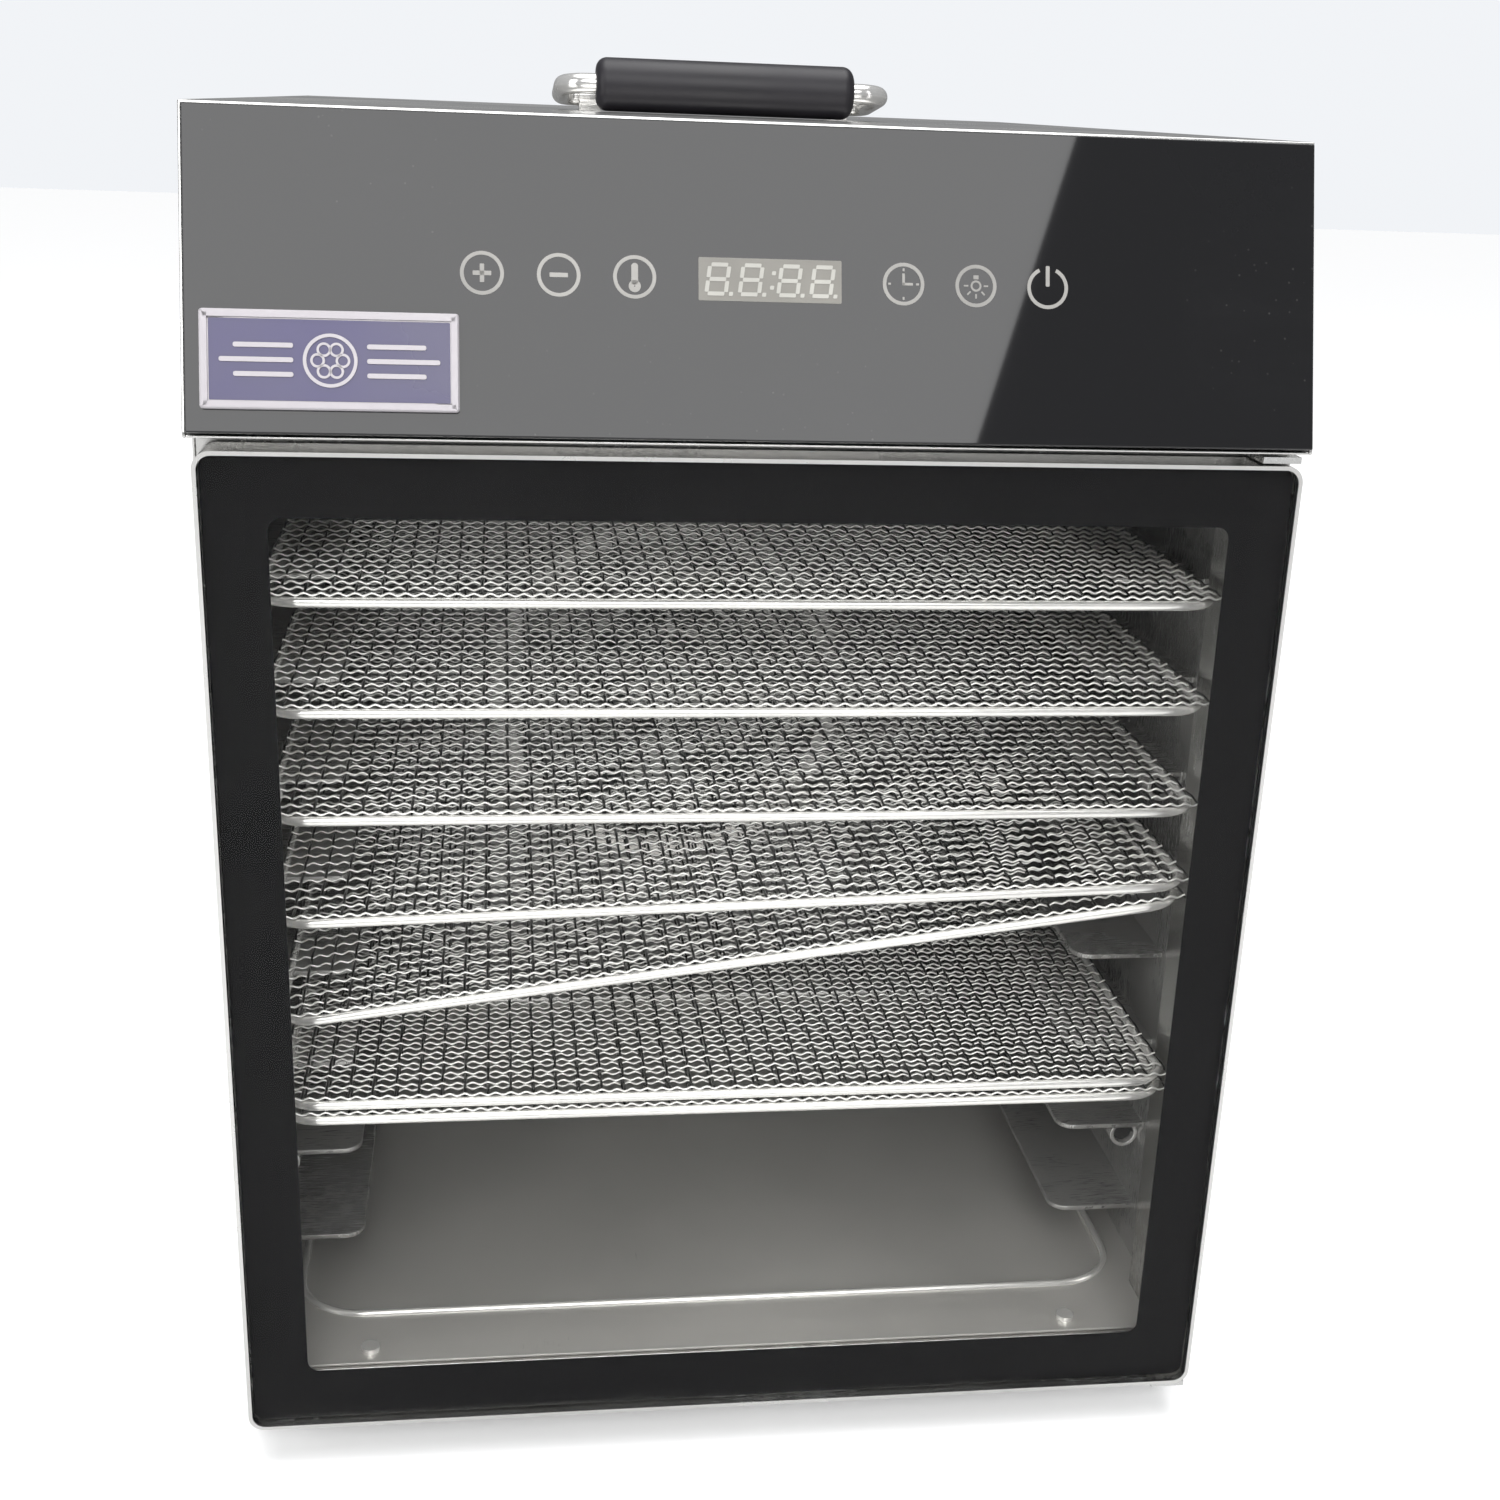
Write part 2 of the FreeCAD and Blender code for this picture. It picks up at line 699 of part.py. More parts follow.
def fan_rotor():
    """Hub, pitched blades and the shaft, round its own Y axis."""
    body = new_body("fan_rotor")
    near, far = "0", "Size.fan_depth"
    pad(body, "XZ", near, far, circle("0", "0", "Size.hub_radius"))
    pad(body, "XZ", far, "Size.fan_space - Size.fan_setback + Size.sheet + Size.motor_length",
        circle("0", "0", "Size.shaft_radius"))
    blade = pad(body, "YZ", "Size.hub_radius - 2", "Size.fan_radius", polygon([
        ("1", "-11"),
        ("2.6", "-12"),
        ("Size.fan_depth - 1", "11"),
        ("Size.fan_depth - 2.6", "12"),
    ]))
    repeat_round(body, blade, "Y", "Size.blade_count")
    return place(body, "0", f"({baffle} + Size.fan_setback)", chamber_middle)


def fan_motor():
    near = f"({bulkhead} + Size.sheet)"
    can = cylinder_back("motor_can", "0", near, chamber_middle, "Size.motor_radius", "Size.motor_length")
    flange = box("motor_flange", "-42", "42", near, f"({near} + 2)", f"({chamber_middle} - 14)",
                 f"({chamber_middle} + 14)")
    bore = cylinder_back("motor_bore", "0", f"({near} - 1)", chamber_middle,
                         "Size.shaft_radius + Size.shaft_play", "Size.motor_length + 2")
    return drilled("fan_motor", fused("motor_whole", can, flange), bore)


def leg_places():
    return "-Size.heater_leg_offset", "Size.heater_leg_offset"


def leg_height():
    return f"({chamber_middle} - sqrt({heater_radius} ^ 2 - Size.heater_leg_offset ^ 2))"


def heater_element():
    """Tubular ring round the fan with two legs out through the bulkhead."""
    y = f"({baffle} + Size.heater_setback)"
    ring = doc.addObject("Part::Torus", "heater_ring")
    ring.setExpression("Radius1", heater_radius)
    ring.setExpression("Radius2", "Size.heater_tube")
    place(ring, "0", y, chamber_middle, (1, 0, 0), "90")
    legs = [cylinder_back("heater_leg", x, y, leg_height(), "Size.heater_tube",
                          "Size.fan_space - Size.heater_setback + 14") for x in leg_places()]
    return fused("heater_element", ring, *legs)


def heater_clips():
    """Three posts from the baffle to the front of the ring."""
    posts = []
    for turn in ("90", "210", "330"):
        x = f"({heater_radius} * cos({turn}))"
        z = f"({chamber_middle} + {heater_radius} * sin({turn}))"
        posts.append(box("heater_clip", f"({x} - 4)", f"({x} + 4)", f"({baffle} + Size.sheet)",
                         f"({baffle} + Size.heater_setback - Size.heater_tube)", f"({z} - 3)",
                         f"({z} + 3)"))
    return group("heater_clips", *posts)


def thermal_cutout():
    y = f"({bulkhead} - 7)"
    z = f"({chamber_middle} + 72)"
    disc = cylinder_back("cutout_disc", "96", y, z, "7.5", "7")
    flange = box("cutout_flange", "82", "110", f"({bulkhead} - 1.2)", bulkhead, f"({z} - 5)", f"({z} + 5)")
    return fused("thermal_cutout", disc, flange)


def probe_place():
    return "-110", f"({floor_top} + Size.ledge_first + {ledge_pitch} * 5.5)"


def temperature_probe():
    x, z = probe_place()
    return cylinder_back("temperature_probe", x, f"({baffle} - 6)", z, "Size.probe_radius", "26")


def lamp_lens():
    """Clear lens in the ceiling with a rim below the sheet."""
    y = f"({frame_face} + Size.lamp_setback)"
    body = cylinder("lens_body", "0", y, ceiling, "Size.lamp_radius", "Size.sheet + 1")
    rim = cylinder("lens_rim", "0", y, f"({ceiling} - 2.5)", "Size.lamp_radius + 3", "2.5")
    return fused("lamp_lens", body, rim)


def lamp_board():
    y = f"({frame_face} + Size.lamp_setback)"
    return cylinder("lamp_board", "0", y, f"({ceiling} + Size.sheet + 1)", "Size.lamp_radius - 2",
                    "Size.board_thickness")


# --- control front -------------------------------------------------------------------------

panel_half = "(Size.panel_width / 2)"
glass_back = "(-Size.panel_glass)"
housing_front = f"({glass_back} - Size.housing_wall)"
board_front = f"({housing_front} - Size.board_setback)"
housing_back = f"({glass_back} - Size.housing_depth)"
board_foot = "(Size.mark_height - Size.board_height / 2)"
board_head = "(Size.mark_height + Size.board_height / 2)"


def mark_places():
    """Centres across the panel of the six touch marks, three each side of the display."""
    return [mirrored_x(f"(Size.mark_first + {step} * Size.mark_pitch)", side)
            for side in (-1, 1) for step in range(3)]


def control_glass():
    body = new_body("control_glass")
    pad(body, "XY", glass_back, "0", rectangle(f"-{panel_half}", panel_half, "0", "Size.panel_slope"))
    return on_panel(body)


def control_housing():
    """Tray behind the glass with a window for the display and one for each touch spring."""
    body = new_body("control_housing")
    half = f"({inner_half} - Size.housing_inset)"
    low = f"(Size.housing_inset - {housing_back} * tan(Size.panel_lean))"
    high = "(Size.panel_slope - Size.housing_inset)"
    wall = "Size.housing_wall"
    pad(body, "XY", housing_back, glass_back, rectangle(f"-{half}", half, low, high))
    pocket(body, "XY", housing_back, housing_front,
           rectangle(f"(-{half} + {wall})", f"({half} - {wall})", f"({low} + {wall})",
                     f"({high} - {wall})"))
    windows = [circle(x, "Size.mark_height", "(Size.mark_radius + 1)") for x in mark_places()]
    windows.append(rectangle("(-Size.display_width / 2 - 1)", "(Size.display_width / 2 + 1)",
                             "(Size.mark_height - Size.display_height / 2 - 1)",
                             "(Size.mark_height + Size.display_height / 2 + 1)"))
    pocket(body, "XY", housing_front, glass_back, *windows)
    posts = [circle(x, y, "2") for x in ("(-Size.board_width / 2 + 4)", "(Size.board_width / 2 - 4)")
             for y in (f"({board_foot} + 4)", f"({board_head} - 4)")]
    pad(body, "XY", board_front, housing_front, *posts)
    return on_panel(body)


def touch_board():
    """Circuit board with a round touch spring behind each mark."""
    body = new_body("touch_board")
    pad(body, "XY", f"({board_front} - Size.board_thickness)", board_front,
        rectangle("-Size.board_width / 2", "Size.board_width / 2", board_foot, board_head))
    springs = [circle(x, "Size.mark_height", "Size.mark_radius") for x in mark_places()]
    pad(body, "XY", board_front, glass_back, *springs)
    return on_panel(body)


def display_module():
    body = new_body("display_module")
    pad(body, "XY", board_front, glass_back,
        rectangle("-Size.display_width / 2", "Size.display_width / 2",
                  "(Size.mark_height - Size.display_height / 2)",
                  "(Size.mark_height + Size.display_height / 2)"))
    return on_panel(body)


def badge_plate():
    body = new_body("badge_plate")
    left = f"(-{panel_half} + Size.badge_left)"
    pad(body, "XY", "0", "Size.badge_thickness",
        rectangle(left, f"({left} + Size.badge_width)", "Size.badge_foot",
                  "(Size.badge_foot + Size.badge_height)", "1"))
    return on_panel(body)


board_low = f"({ceiling} + Size.sheet + 8)"
board_high = f"({board_low} + Size.board_thickness)"
board_y_low = f"({frame_face} + 150)"
board_y_high = f"({board_y_low} + 90)"


def power_board():
    return box("power_board", "-60", "60", board_y_low, board_y_high, board_low, board_high)


def board_standoffs():
    posts = [cylinder("standoff", x, y, f"({ceiling} + Size.sheet)", "3", "8")
             for x in ("-54", "54") for y in (f"({board_y_low} + 6)", f"({board_y_high} - 6)")]
    return group("board_standoffs", *posts)


def power_transformer():
    return box("power_transformer", "-48", "-4", f"({board_y_low} + 24)", f"({board_y_low} + 62)",
               board_high, f"({board_high} + 32)")


def power_relay():
    return box("power_relay", "16", "35", f"({board_y_low} + 30)", f"({board_y_low} + 46)",
               board_high, f"({board_high} + 15)")


# --- door ----------------------------------------------------------------------------------

def inset_door(inset, radius=None):
    """The door's outline drawn in by an inset."""
    return rectangle(f"(-{door_half} + {inset})", f"({door_half} - {inset})", f"({door_foot} + {inset})",
                     f"({door_top} - {inset})", radius)


def bush_spans():
    """Heights of the lower and the upper hinge bush."""
    return ((door_foot, f"({door_foot} + Size.pin_engagement + 2)"),
            (f"({door_top} - Size.pin_engagement - 2)", door_top))


def door_trim():
    """Polished channel round the glass: front lip, edge wall and rear return."""
    body = new_body("door_trim")
    lip_back = f"({door_front} + Size.trim_lip)"
    return_front = f"({door_back} - Size.trim_wall)"
    inner_corner = "(Size.door_corner - Size.trim_wall)"
    pad(body, "XZ", door_front, door_back, inset_door("0", "Size.door_corner"))
    pocket(body, "XZ", door_front, lip_back, inset_door("Size.trim_rim", inner_corner))
    pocket(body, "XZ", lip_back, return_front, inset_door("Size.trim_wall", inner_corner))
    pocket(body, "XZ", return_front, door_back, inset_door("Size.trim_return"))
    for low, high in bush_spans():
        pocket(body, "XY", low, high, circle(pin_x, pin_y, "Size.bush_radius"))
    return body


def door_glass():
    body = new_body("door_glass")
    low = f"({door_front} + Size.trim_lip)"
    pad(body, "XZ", low, f"({low} + Size.glass_thickness)",
        inset_door("(Size.trim_wall + Size.glass_play)", "(Size.door_corner - Size.trim_wall)"))
    return body


def door_gasket():
    """Seal between the door's rear return and the face frame, inboard of the hinge line."""
    body = new_body("door_gasket")
    pad(body, "XZ", door_back, f"({frame_face} - Size.seal_gap)", inset_door("Size.pin_inset", "3"),
        inset_door("(Size.pin_inset + Size.seal_width)", "1"))
    return body


def door_bushes():
    bushes = []
    for low, high in bush_spans():
        whole = cylinder("bush_whole", pin_x, pin_y, low, "Size.bush_radius", f"{high} - {low}")
        bore = cylinder("bush_bore", pin_x, pin_y, f"({low} - 1)", "Size.pin_radius + Size.pin_play",
                        f"{high} - {low} + 2")
        bushes.append(drilled("bush", whole, bore))
    return group("door_bushes", *bushes)


def hinge_plate(label, low, tab_high):
    """Plate that carries a hinge pin, with a tab where it meets the face frame."""
    high = f"({low} + Size.bracket_thickness)"
    x_low = f"({door_half} - Size.bracket_width)"
    plate = box(f"{label}_plate", x_low, f"({door_half} - 0.5)", f"({door_front} + 2)", frame_face, low, high)
    hole = cylinder(f"{label}_hole", pin_x, pin_y, f"({low} - 1)", "Size.pin_radius",
                    "Size.bracket_thickness + 2")
    if tab_high is None:
        return drilled(label, plate, hole)
    tab = box(f"{label}_tab", x_low, f"({door_half} - 0.5)", f"({frame_face} - 1.5)", frame_face, low, tab_high)
    return drilled(label, fused(f"{label}_whole", plate, tab), hole)


upper_plate_low = f"({door_top} + Size.bracket_play)"
lower_plate_low = f"({door_foot} - Size.bracket_play - Size.bracket_thickness)"


def hinge_pins():
    length = "Size.bracket_thickness + Size.bracket_play + Size.pin_engagement"
    upper = cylinder("upper_pin", pin_x, pin_y, f"({door_top} - Size.pin_engagement)",
                     "Size.pin_radius", length)
    lower = cylinder("lower_pin", pin_x, pin_y, lower_plate_low, "Size.pin_radius", length)
    return group("hinge_pins", upper, lower)


def latch_heights():
    return [f"({door_middle} {sign} Size.magnet_spacing / 2)" for sign in ("-", "+")]


def door_magnets():
    """Magnets behind the face frame on the opening side."""
    x = f"(-{opening_half} - Size.sheet - Size.magnet_radius - 0.5)"
    magnets = [cylinder_back("magnet", x, f"({frame_face} + Size.sheet)", z, "Size.magnet_radius",
                             "Size.magnet_length") for z in latch_heights()]
    return group("door_magnets", *magnets)


def door_strikers():
    """Steel strips inside the door's rear return, opposite the magnets."""
    x_low = f"(-{door_half} + Size.trim_wall + Size.glass_play)"
    back = f"({door_back} - Size.trim_wall)"
    strips = [box("striker", x_low, f"({x_low} + 7)", f"({back} - 2)", back, f"({z} - 15)", f"({z} + 15)")
              for z in latch_heights()]
    return group("door_strikers", *strips)


# --- handle --------------------------------------------------------------------------------

handle_rise = "asin((Size.grip_radius + Size.rest_gap - Size.knuckle_radius) / Size.handle_reach)"


def on_handle(item):
    """Handle pieces are drawn flat about the pivot line, which lies along X."""
    return place(item, "0", handle_y, handle_z, (1, 0, 0), f"-{handle_rise}")


def handle_bail():
    """Bent rod: a stub in each bracket, two legs and a straight run through the grip."""
    body = new_body("handle_bail")
    bend = "Size.handle_bend"
    stub_x = "(Size.handle_half - Size.handle_stub)"
    reach = "-Size.handle_reach"
    spine = new_sketch(body, "XY", "0", path([
        (f"-{stub_x}", "0"),
        ("-Size.handle_half", "0", "Size.handle_elbow"),
        ("-Size.handle_half", reach, bend),
        ("Size.handle_half", reach, bend),
        ("Size.handle_half", "0", "Size.handle_elbow"),
        (stub_x, "0"),
    ]))
    profile = new_sketch(body, "YZ", f"-{stub_x}", circle("0", "0", "Size.rod_radius"))
    rod = body.newObject("PartDesign::AdditivePipe", "handle_rod")
    rod.Profile = profile
    rod.Spine = spine
    return on_handle(body)


def handle_grip():
    """Round grip with softened ends, bored for the rod."""
    body = new_body("handle_grip")
    half = "(Size.grip_length / 2)"
    radius = "Size.grip_radius"
    grip = pad(body, "YZ", f"-{half}", half, circle("-Size.handle_reach", "0", radius))
    doc.recompute()
    rims = [f"Edge{i}" for i, edge in enumerate(grip.Shape.Edges, start=1) if edge.isClosed()]
    rounding = body.newObject("PartDesign::Fillet", "grip_ends")
    rounding.Base = (grip, rims)
    rounding.setExpression("Radius", "Size.grip_round")
    pocket(body, "YZ", f"-{half}", half, circle("-Size.handle_reach", "0", "Size.rod_radius"))
    return on_handle(body)


def handle_brackets():
    """Two saddles on the top sheet that the bail turns in."""
    brackets = []
    for side in (-1, 1):
        near = "(Size.handle_half - Size.handle_stub + 0.5)"
        far = f"({near} + Size.knuckle_width)"
        x_low, x_high = (near, far) if side > 0 else (mirrored_x(far, side), mirrored_x(near, side))
        plate = box("saddle_plate", x_low, x_high, f"({handle_y} - 4)", f"({handle_y} + 20)", top,
                    f"({top} + Size.bracket_plate)")
        web = box("saddle_web", x_low, x_high, f"({handle_y} - 4)", f"({handle_y} + 4)", top, handle_z)
        knuckle = cylinder("saddle_knuckle", x_low, handle_y, handle_z, "Size.knuckle_radius",
                           "Size.knuckle_width", (0, 1, 0), "90")
        bore = cylinder("saddle_bore", f"({x_low} - 1)", handle_y, handle_z,
                        "Size.rod_radius + Size.rod_play", "Size.knuckle_width + 2", (0, 1, 0), "90")
        brackets.append(drilled("saddle", fused("saddle_whole", plate, web, knuckle), bore))
    return group("handle_brackets", *brackets)


def handle_rivets():
    rivets = []
    for side in (-1, 1):
        x = mirrored_x("(Size.handle_half - Size.handle_stub + 0.5 + Size.knuckle_width / 2)", side)
        y = f"({handle_y} + 14)"
        head = cylinder("rivet_head", x, y, f"({top} + Size.bracket_plate)", "3", "1.4")
        shank = cylinder("rivet_shank", x, y, f"({top} - Size.sheet - 1.5)", "1.6",
                         "Size.sheet + 1.5 + Size.bracket_plate")
        rivets.append(fused("rivet", head, shank))
    return group("handle_rivets", *rivets)


# --- trays ---------------------------------------------------------------------------------

def ledge_height(index):
    return f"({floor_top} + Size.ledge_first + {ledge_pitch} * {index})"


# A tray that lies level has its rod's centre one rod radius and the rest gap above its ledge.
rod_rise = "(Size.tray_rod / 2 + Size.rest_gap)"
ledge_tip = f"({chamber_half} - Size.ledge_width)"
slanted_angle = f"atan({ledge_pitch} / ({rod_half} + {ledge_tip} - 1))"
slanted_right = f"({ledge_height(3)} + {rod_rise} + 2 * {rod_half} * sin({slanted_angle}))"
lifted_right = f"({slanted_right} + {tray_height} + 2 * Size.rest_gap)"
lifted_angle = f"asin(({lifted_right} - {ledge_height(4)} - {rod_rise}) / (2 * {rod_half}))"

# From the top down: the centre height at the left rod and the angle that the right side is raised by.
tray_rests = [
    (f"({ledge_height(7)} + {rod_rise})", "0"),
    (f"({ledge_height(6)} + {rod_rise})", "0"),
    (f"({ledge_height(5)} + {rod_rise})", "0"),
    (f"({ledge_height(4)} + {rod_rise})", lifted_angle),
    (f"({ledge_height(3)} + {rod_rise})", slanted_angle),
    (f"({ledge_height(2)} + {rod_rise} + {tray_height} + Size.rest_gap)", "0"),
    (f"({ledge_height(2)} + {rod_rise})", "0"),
]


def on_tray(item, number_from_top):
    """Tray pieces are drawn flat about the middle of the tray's rod frame."""
    left_height, angle = tray_rests[number_from_top - 1]
    middle = f"({left_height} + {rod_half} * sin({angle}))"
    return place(item, "0", tray_middle, middle, (0, 1, 0), f"-({angle})")


def tray_frame(number_from_top):
    """Bent rod frame with rounded corners."""
    body = new_body(f"tray_{number_from_top}_frame")
    reach = f"({tray_depth} / 2 - Size.tray_rod / 2)"
    corner = "Size.tray_corner"
    spine = new_sketch(body, "XY", "0", polygon([
        ("0", f"-{reach}"),
        (rod_half, f"-{reach}", corner),
        (rod_half, reach, corner),
        (f"-{rod_half}", reach, corner),
        (f"-{rod_half}", f"-{reach}", corner),
    ]))
    profile = new_sketch(body, "YZ", "0", circle(f"-{reach}", "0", "(Size.tray_rod / 2)"))
    rod = body.newObject("PartDesign::AdditivePipe", "tray_rod")
    rod.Profile = profile
    rod.Spine = spine
    return on_tray(body, number_from_top)


def tray_mesh(number_from_top):
    """Open grille welded on the frame: a rim and crossing bars."""
    body = new_body(f"tray_{number_from_top}_mesh")
    low = "(Size.tray_rod / 2 - Size.mesh_weld)"
    high = f"({low} + Size.mesh_thickness)"
    half_x = rod_half
    half_y = f"({tray_depth} / 2 - Size.tray_rod / 2)"
    rim = "Size.mesh_rim"
    corner = "Size.tray_corner"
    pad(body, "XY", low, high, rectangle(f"-{half_x}", half_x, f"-{half_y}", half_y, corner),
        rectangle(f"(-{half_x} + {rim})", f"({half_x} - {rim})", f"(-{half_y} + {rim})",
                  f"({half_y} - {rim})", f"({corner} - {rim})"))
    step_x = f"(2 * {half_x} / (Size.mesh_bars + 1))"
    step_y = f"(2 * {half_y} / (Size.mesh_bars + 1))"
    first_x = f"(-{half_x} + {step_x})"
    first_y = f"(-{half_y} + {step_y})"
    bar_y = pad(body, "XY", low, high, rectangle(f"({first_x} - 0.8)", f"({first_x} + 0.8)",
                                                f"(-{half_y} + 1)", f"({half_y} - 1)"))
    repeat_along(body, bar_y, "X", f"{step_x} * (Size.mesh_bars - 1)", "Size.mesh_bars")
    bar_x = pad(body, "XY", low, high, rectangle(f"(-{half_x} + 1)", f"({half_x} - 1)",
                                                f"({first_y} - 0.8)", f"({first_y} + 0.8)"))
    repeat_along(body, bar_x, "Y", f"{step_y} * (Size.mesh_bars - 1)", "Size.mesh_bars")
    return on_tray(body, number_from_top)


# --- assembly ------------------------------------------------------------------------------

builders = [
    outer_wrap, base_plate, rear_cover, rear_bulkhead, front_frame, rubber_feet, rear_screws, cord_gland,
    rack_tubes, chamber_ceiling, chamber_floor, floor_screws, rear_baffle, fan_guard, fan_rotor, fan_motor,
    heater_element, heater_clips, thermal_cutout, temperature_probe, lamp_lens, lamp_board,
    control_glass, control_housing, touch_board, display_module, badge_plate, power_board,
    board_standoffs, power_transformer, power_relay, door_trim, door_glass, door_gasket, door_bushes,
    hinge_pins, door_magnets, door_strikers, handle_bail, handle_grip, handle_brackets, handle_rivets,
]
for builder in builders:
    keep(builder())
keep(chamber_wall("chamber_wall_left", -1))
keep(chamber_wall("chamber_wall_right", 1))
keep(hinge_plate("hinge_bracket_upper", upper_plate_low, shelf_under))
keep(hinge_plate("hinge_bracket_lower", lower_plate_low, None))
for tray in range(1, len(tray_rests) + 1):
    keep(tray_frame(tray))
    keep(tray_mesh(tray))

doc.recompute()


def faults():
    """Names of objects that failed and of nodes whose shape is missing or not valid."""
    found = [f"{item.Name}: {item.State}" for item in doc.Objects
             if "Invalid" in item.State or "Error" in item.State]
    for node in nodes:
        shape = node.Shape
        if shape.isNull() or not shape.isValid() or not shape.Solids:
            found.append(f"{node.Label}: shape")
    return found


problems = faults()
if problems:
    raise RuntimeError("; ".join(problems))

os.makedirs("parts", exist_ok=True)
for node in nodes:
    node.Shape.exportStep(os.path.join("parts", f"{node.Label}.step"))
    bounds = node.Shape.BoundBox
    print(f"{node.Label:24s} solids {len(node.Shape.Solids):2d}  X {bounds.XMin:7.1f} {bounds.XMax:7.1f}"
          f"  Y {bounds.YMin:7.1f} {bounds.YMax:7.1f}  Z {bounds.ZMin:6.1f} {bounds.ZMax:6.1f}")
print(len(nodes), "nodes")
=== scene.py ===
import math
import bmesh
import bpy
from mathutils import Euler, Matrix, Vector


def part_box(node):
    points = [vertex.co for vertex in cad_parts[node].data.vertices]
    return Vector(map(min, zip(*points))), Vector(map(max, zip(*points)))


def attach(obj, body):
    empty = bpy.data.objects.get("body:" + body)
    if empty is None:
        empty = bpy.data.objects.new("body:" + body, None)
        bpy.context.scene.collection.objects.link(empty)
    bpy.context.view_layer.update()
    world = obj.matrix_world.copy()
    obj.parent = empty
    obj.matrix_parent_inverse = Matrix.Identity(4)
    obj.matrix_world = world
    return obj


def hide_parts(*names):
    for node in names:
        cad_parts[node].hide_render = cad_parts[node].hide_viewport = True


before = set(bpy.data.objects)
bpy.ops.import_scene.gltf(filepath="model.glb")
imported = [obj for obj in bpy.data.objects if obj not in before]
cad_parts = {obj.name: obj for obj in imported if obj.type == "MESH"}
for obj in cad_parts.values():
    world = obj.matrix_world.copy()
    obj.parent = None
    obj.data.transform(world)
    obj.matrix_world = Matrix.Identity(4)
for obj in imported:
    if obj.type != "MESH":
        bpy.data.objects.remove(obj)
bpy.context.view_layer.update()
print("cabinet loaded")


def lowHigh(node):
    low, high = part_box(node)
    return Vector(low), Vector(high)


def makePiece(name, mesh, body, material, smooth=True, hides=()):
    # a finished bmesh becomes an object at the origin that rides on its body
    data = bpy.data.meshes.new(name)
    mesh.to_mesh(data)
    mesh.free()
    data.polygons.foreach_set("use_smooth", [smooth] * len(data.polygons))
    piece = bpy.data.objects.new(name, data)
    bpy.context.scene.collection.objects.link(piece)
    data.materials.append(material)
    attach(piece, body)
    if hides:
        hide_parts(*hides)
    return piece


def addBevel(piece, width, segments=2, angle=35):
    bevel = piece.modifiers.new("edges", "BEVEL")
    bevel.width = width
    bevel.segments = segments
    bevel.limit_method = "ANGLE"
    bevel.angle_limit = math.radians(angle)
    weighted = piece.modifiers.new("flatFaces", "WEIGHTED_NORMAL")
    weighted.weight = 100


def softened(node, body, slotName, material, width, segments=2):
    # a copy of a sheet-metal node with its loose triangles merged and its sharp edges eased
    mesh = bmesh.new()
    mesh.from_mesh(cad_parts[node].data)
    bmesh.ops.remove_doubles(mesh, verts=mesh.verts[:], dist=1e-6)
    if width:
        bmesh.ops.dissolve_limit(mesh, angle_limit=math.radians(1.5), verts=mesh.verts[:],
                                 edges=mesh.edges[:], delimit={"NORMAL"})
    piece = makePiece(f"{node}_eased", mesh, body, material, hides=(node,))
    if width:
        addBevel(piece, width, segments)
    return piece


def joinedVerts(verts):
    # every vertex that edges join to the given ones
    made = set(verts)
    todo = list(verts)
    while todo:
        vert = todo.pop()
        for edge in vert.link_edges:
            other = edge.other_vert(vert)
            if other not in made:
                made.add(other)
                todo.append(other)
    return list(made)


def outwardFaces(mesh, verts):
    faces = {face for vert in verts for face in vert.link_faces}
    bmesh.ops.recalc_face_normals(mesh, faces=list(faces))


def addLathe(mesh, profile, place, steps=48):
    # a line of (radius, height) pairs spun round the local Z axis
    verts = [mesh.verts.new((radius, 0, height)) for radius, height in profile]
    edges = [mesh.edges.new(pair) for pair in zip(verts, verts[1:])]
    bmesh.ops.spin(mesh, geom=verts + edges, cent=(0, 0, 0), axis=(0, 0, 1), dvec=(0, 0, 0),
                   angle=math.tau, steps=steps, use_merge=True)
    made = joinedVerts(verts)
    bmesh.ops.remove_doubles(mesh, verts=made, dist=1e-6)
    made = [vert for vert in made if vert.is_valid]
    bmesh.ops.transform(mesh, matrix=place, verts=made)
    outwardFaces(mesh, made)


def roundedOutline(mesh, halfX, halfY, radius, centre=(0, 0), height=0.0, segments=6):
    # one face with rounded corners in the local XY plane
    place = Matrix.Translation((centre[0], centre[1], height)) @ Matrix.Diagonal((halfX, halfY, 1, 1))
    made = bmesh.ops.create_grid(mesh, x_segments=1, y_segments=1, size=1, matrix=place)["verts"]
    if radius:
        bmesh.ops.bevel(mesh, geom=made, offset=radius, segments=segments, profile=0.5,
                        affect="VERTICES", material=-1)
    near = [face for face in mesh.faces if abs(face.calc_center_median().z - height) < 1e-9]
    return near[-1]


def raised(mesh, faces, amount):
    # give flat faces a thickness along local +Z
    grown = bmesh.ops.extrude_face_region(mesh, geom=faces)["geom"]
    verts = [item for item in grown if isinstance(item, bmesh.types.BMVert)]
    bmesh.ops.translate(mesh, vec=(0, 0, amount), verts=verts)
    return verts


def ringFace(mesh, outer, inner, amount, centre=(0, 0), steps=48, start=0.0, sweep=math.tau,
             height=0.0):
    # a flat washer, or part of one, raised by an amount
    verts = [mesh.verts.new((radius * math.cos(start), radius * math.sin(start), height + level))
             for radius, level in ((inner, 0), (outer, 0), (outer, amount), (inner, amount))]
    whole = abs(sweep - math.tau) < 1e-6
    loop = [mesh.edges.new((verts[i], verts[(i + 1) % 4])) for i in range(4)]
    spun = bmesh.ops.spin(mesh, geom=verts + loop, cent=(0, 0, 0), axis=(0, 0, 1), dvec=(0, 0, 0),
                          angle=sweep, steps=steps, use_merge=whole)
    made = joinedVerts(verts)
    if not whole:
        last = [item for item in spun["geom_last"] if isinstance(item, bmesh.types.BMVert)]
        mesh.faces.new(verts)
        mesh.faces.new(list(reversed(last)))
    bmesh.ops.translate(mesh, vec=(centre[0], centre[1], 0), verts=made)
    outwardFaces(mesh, made)


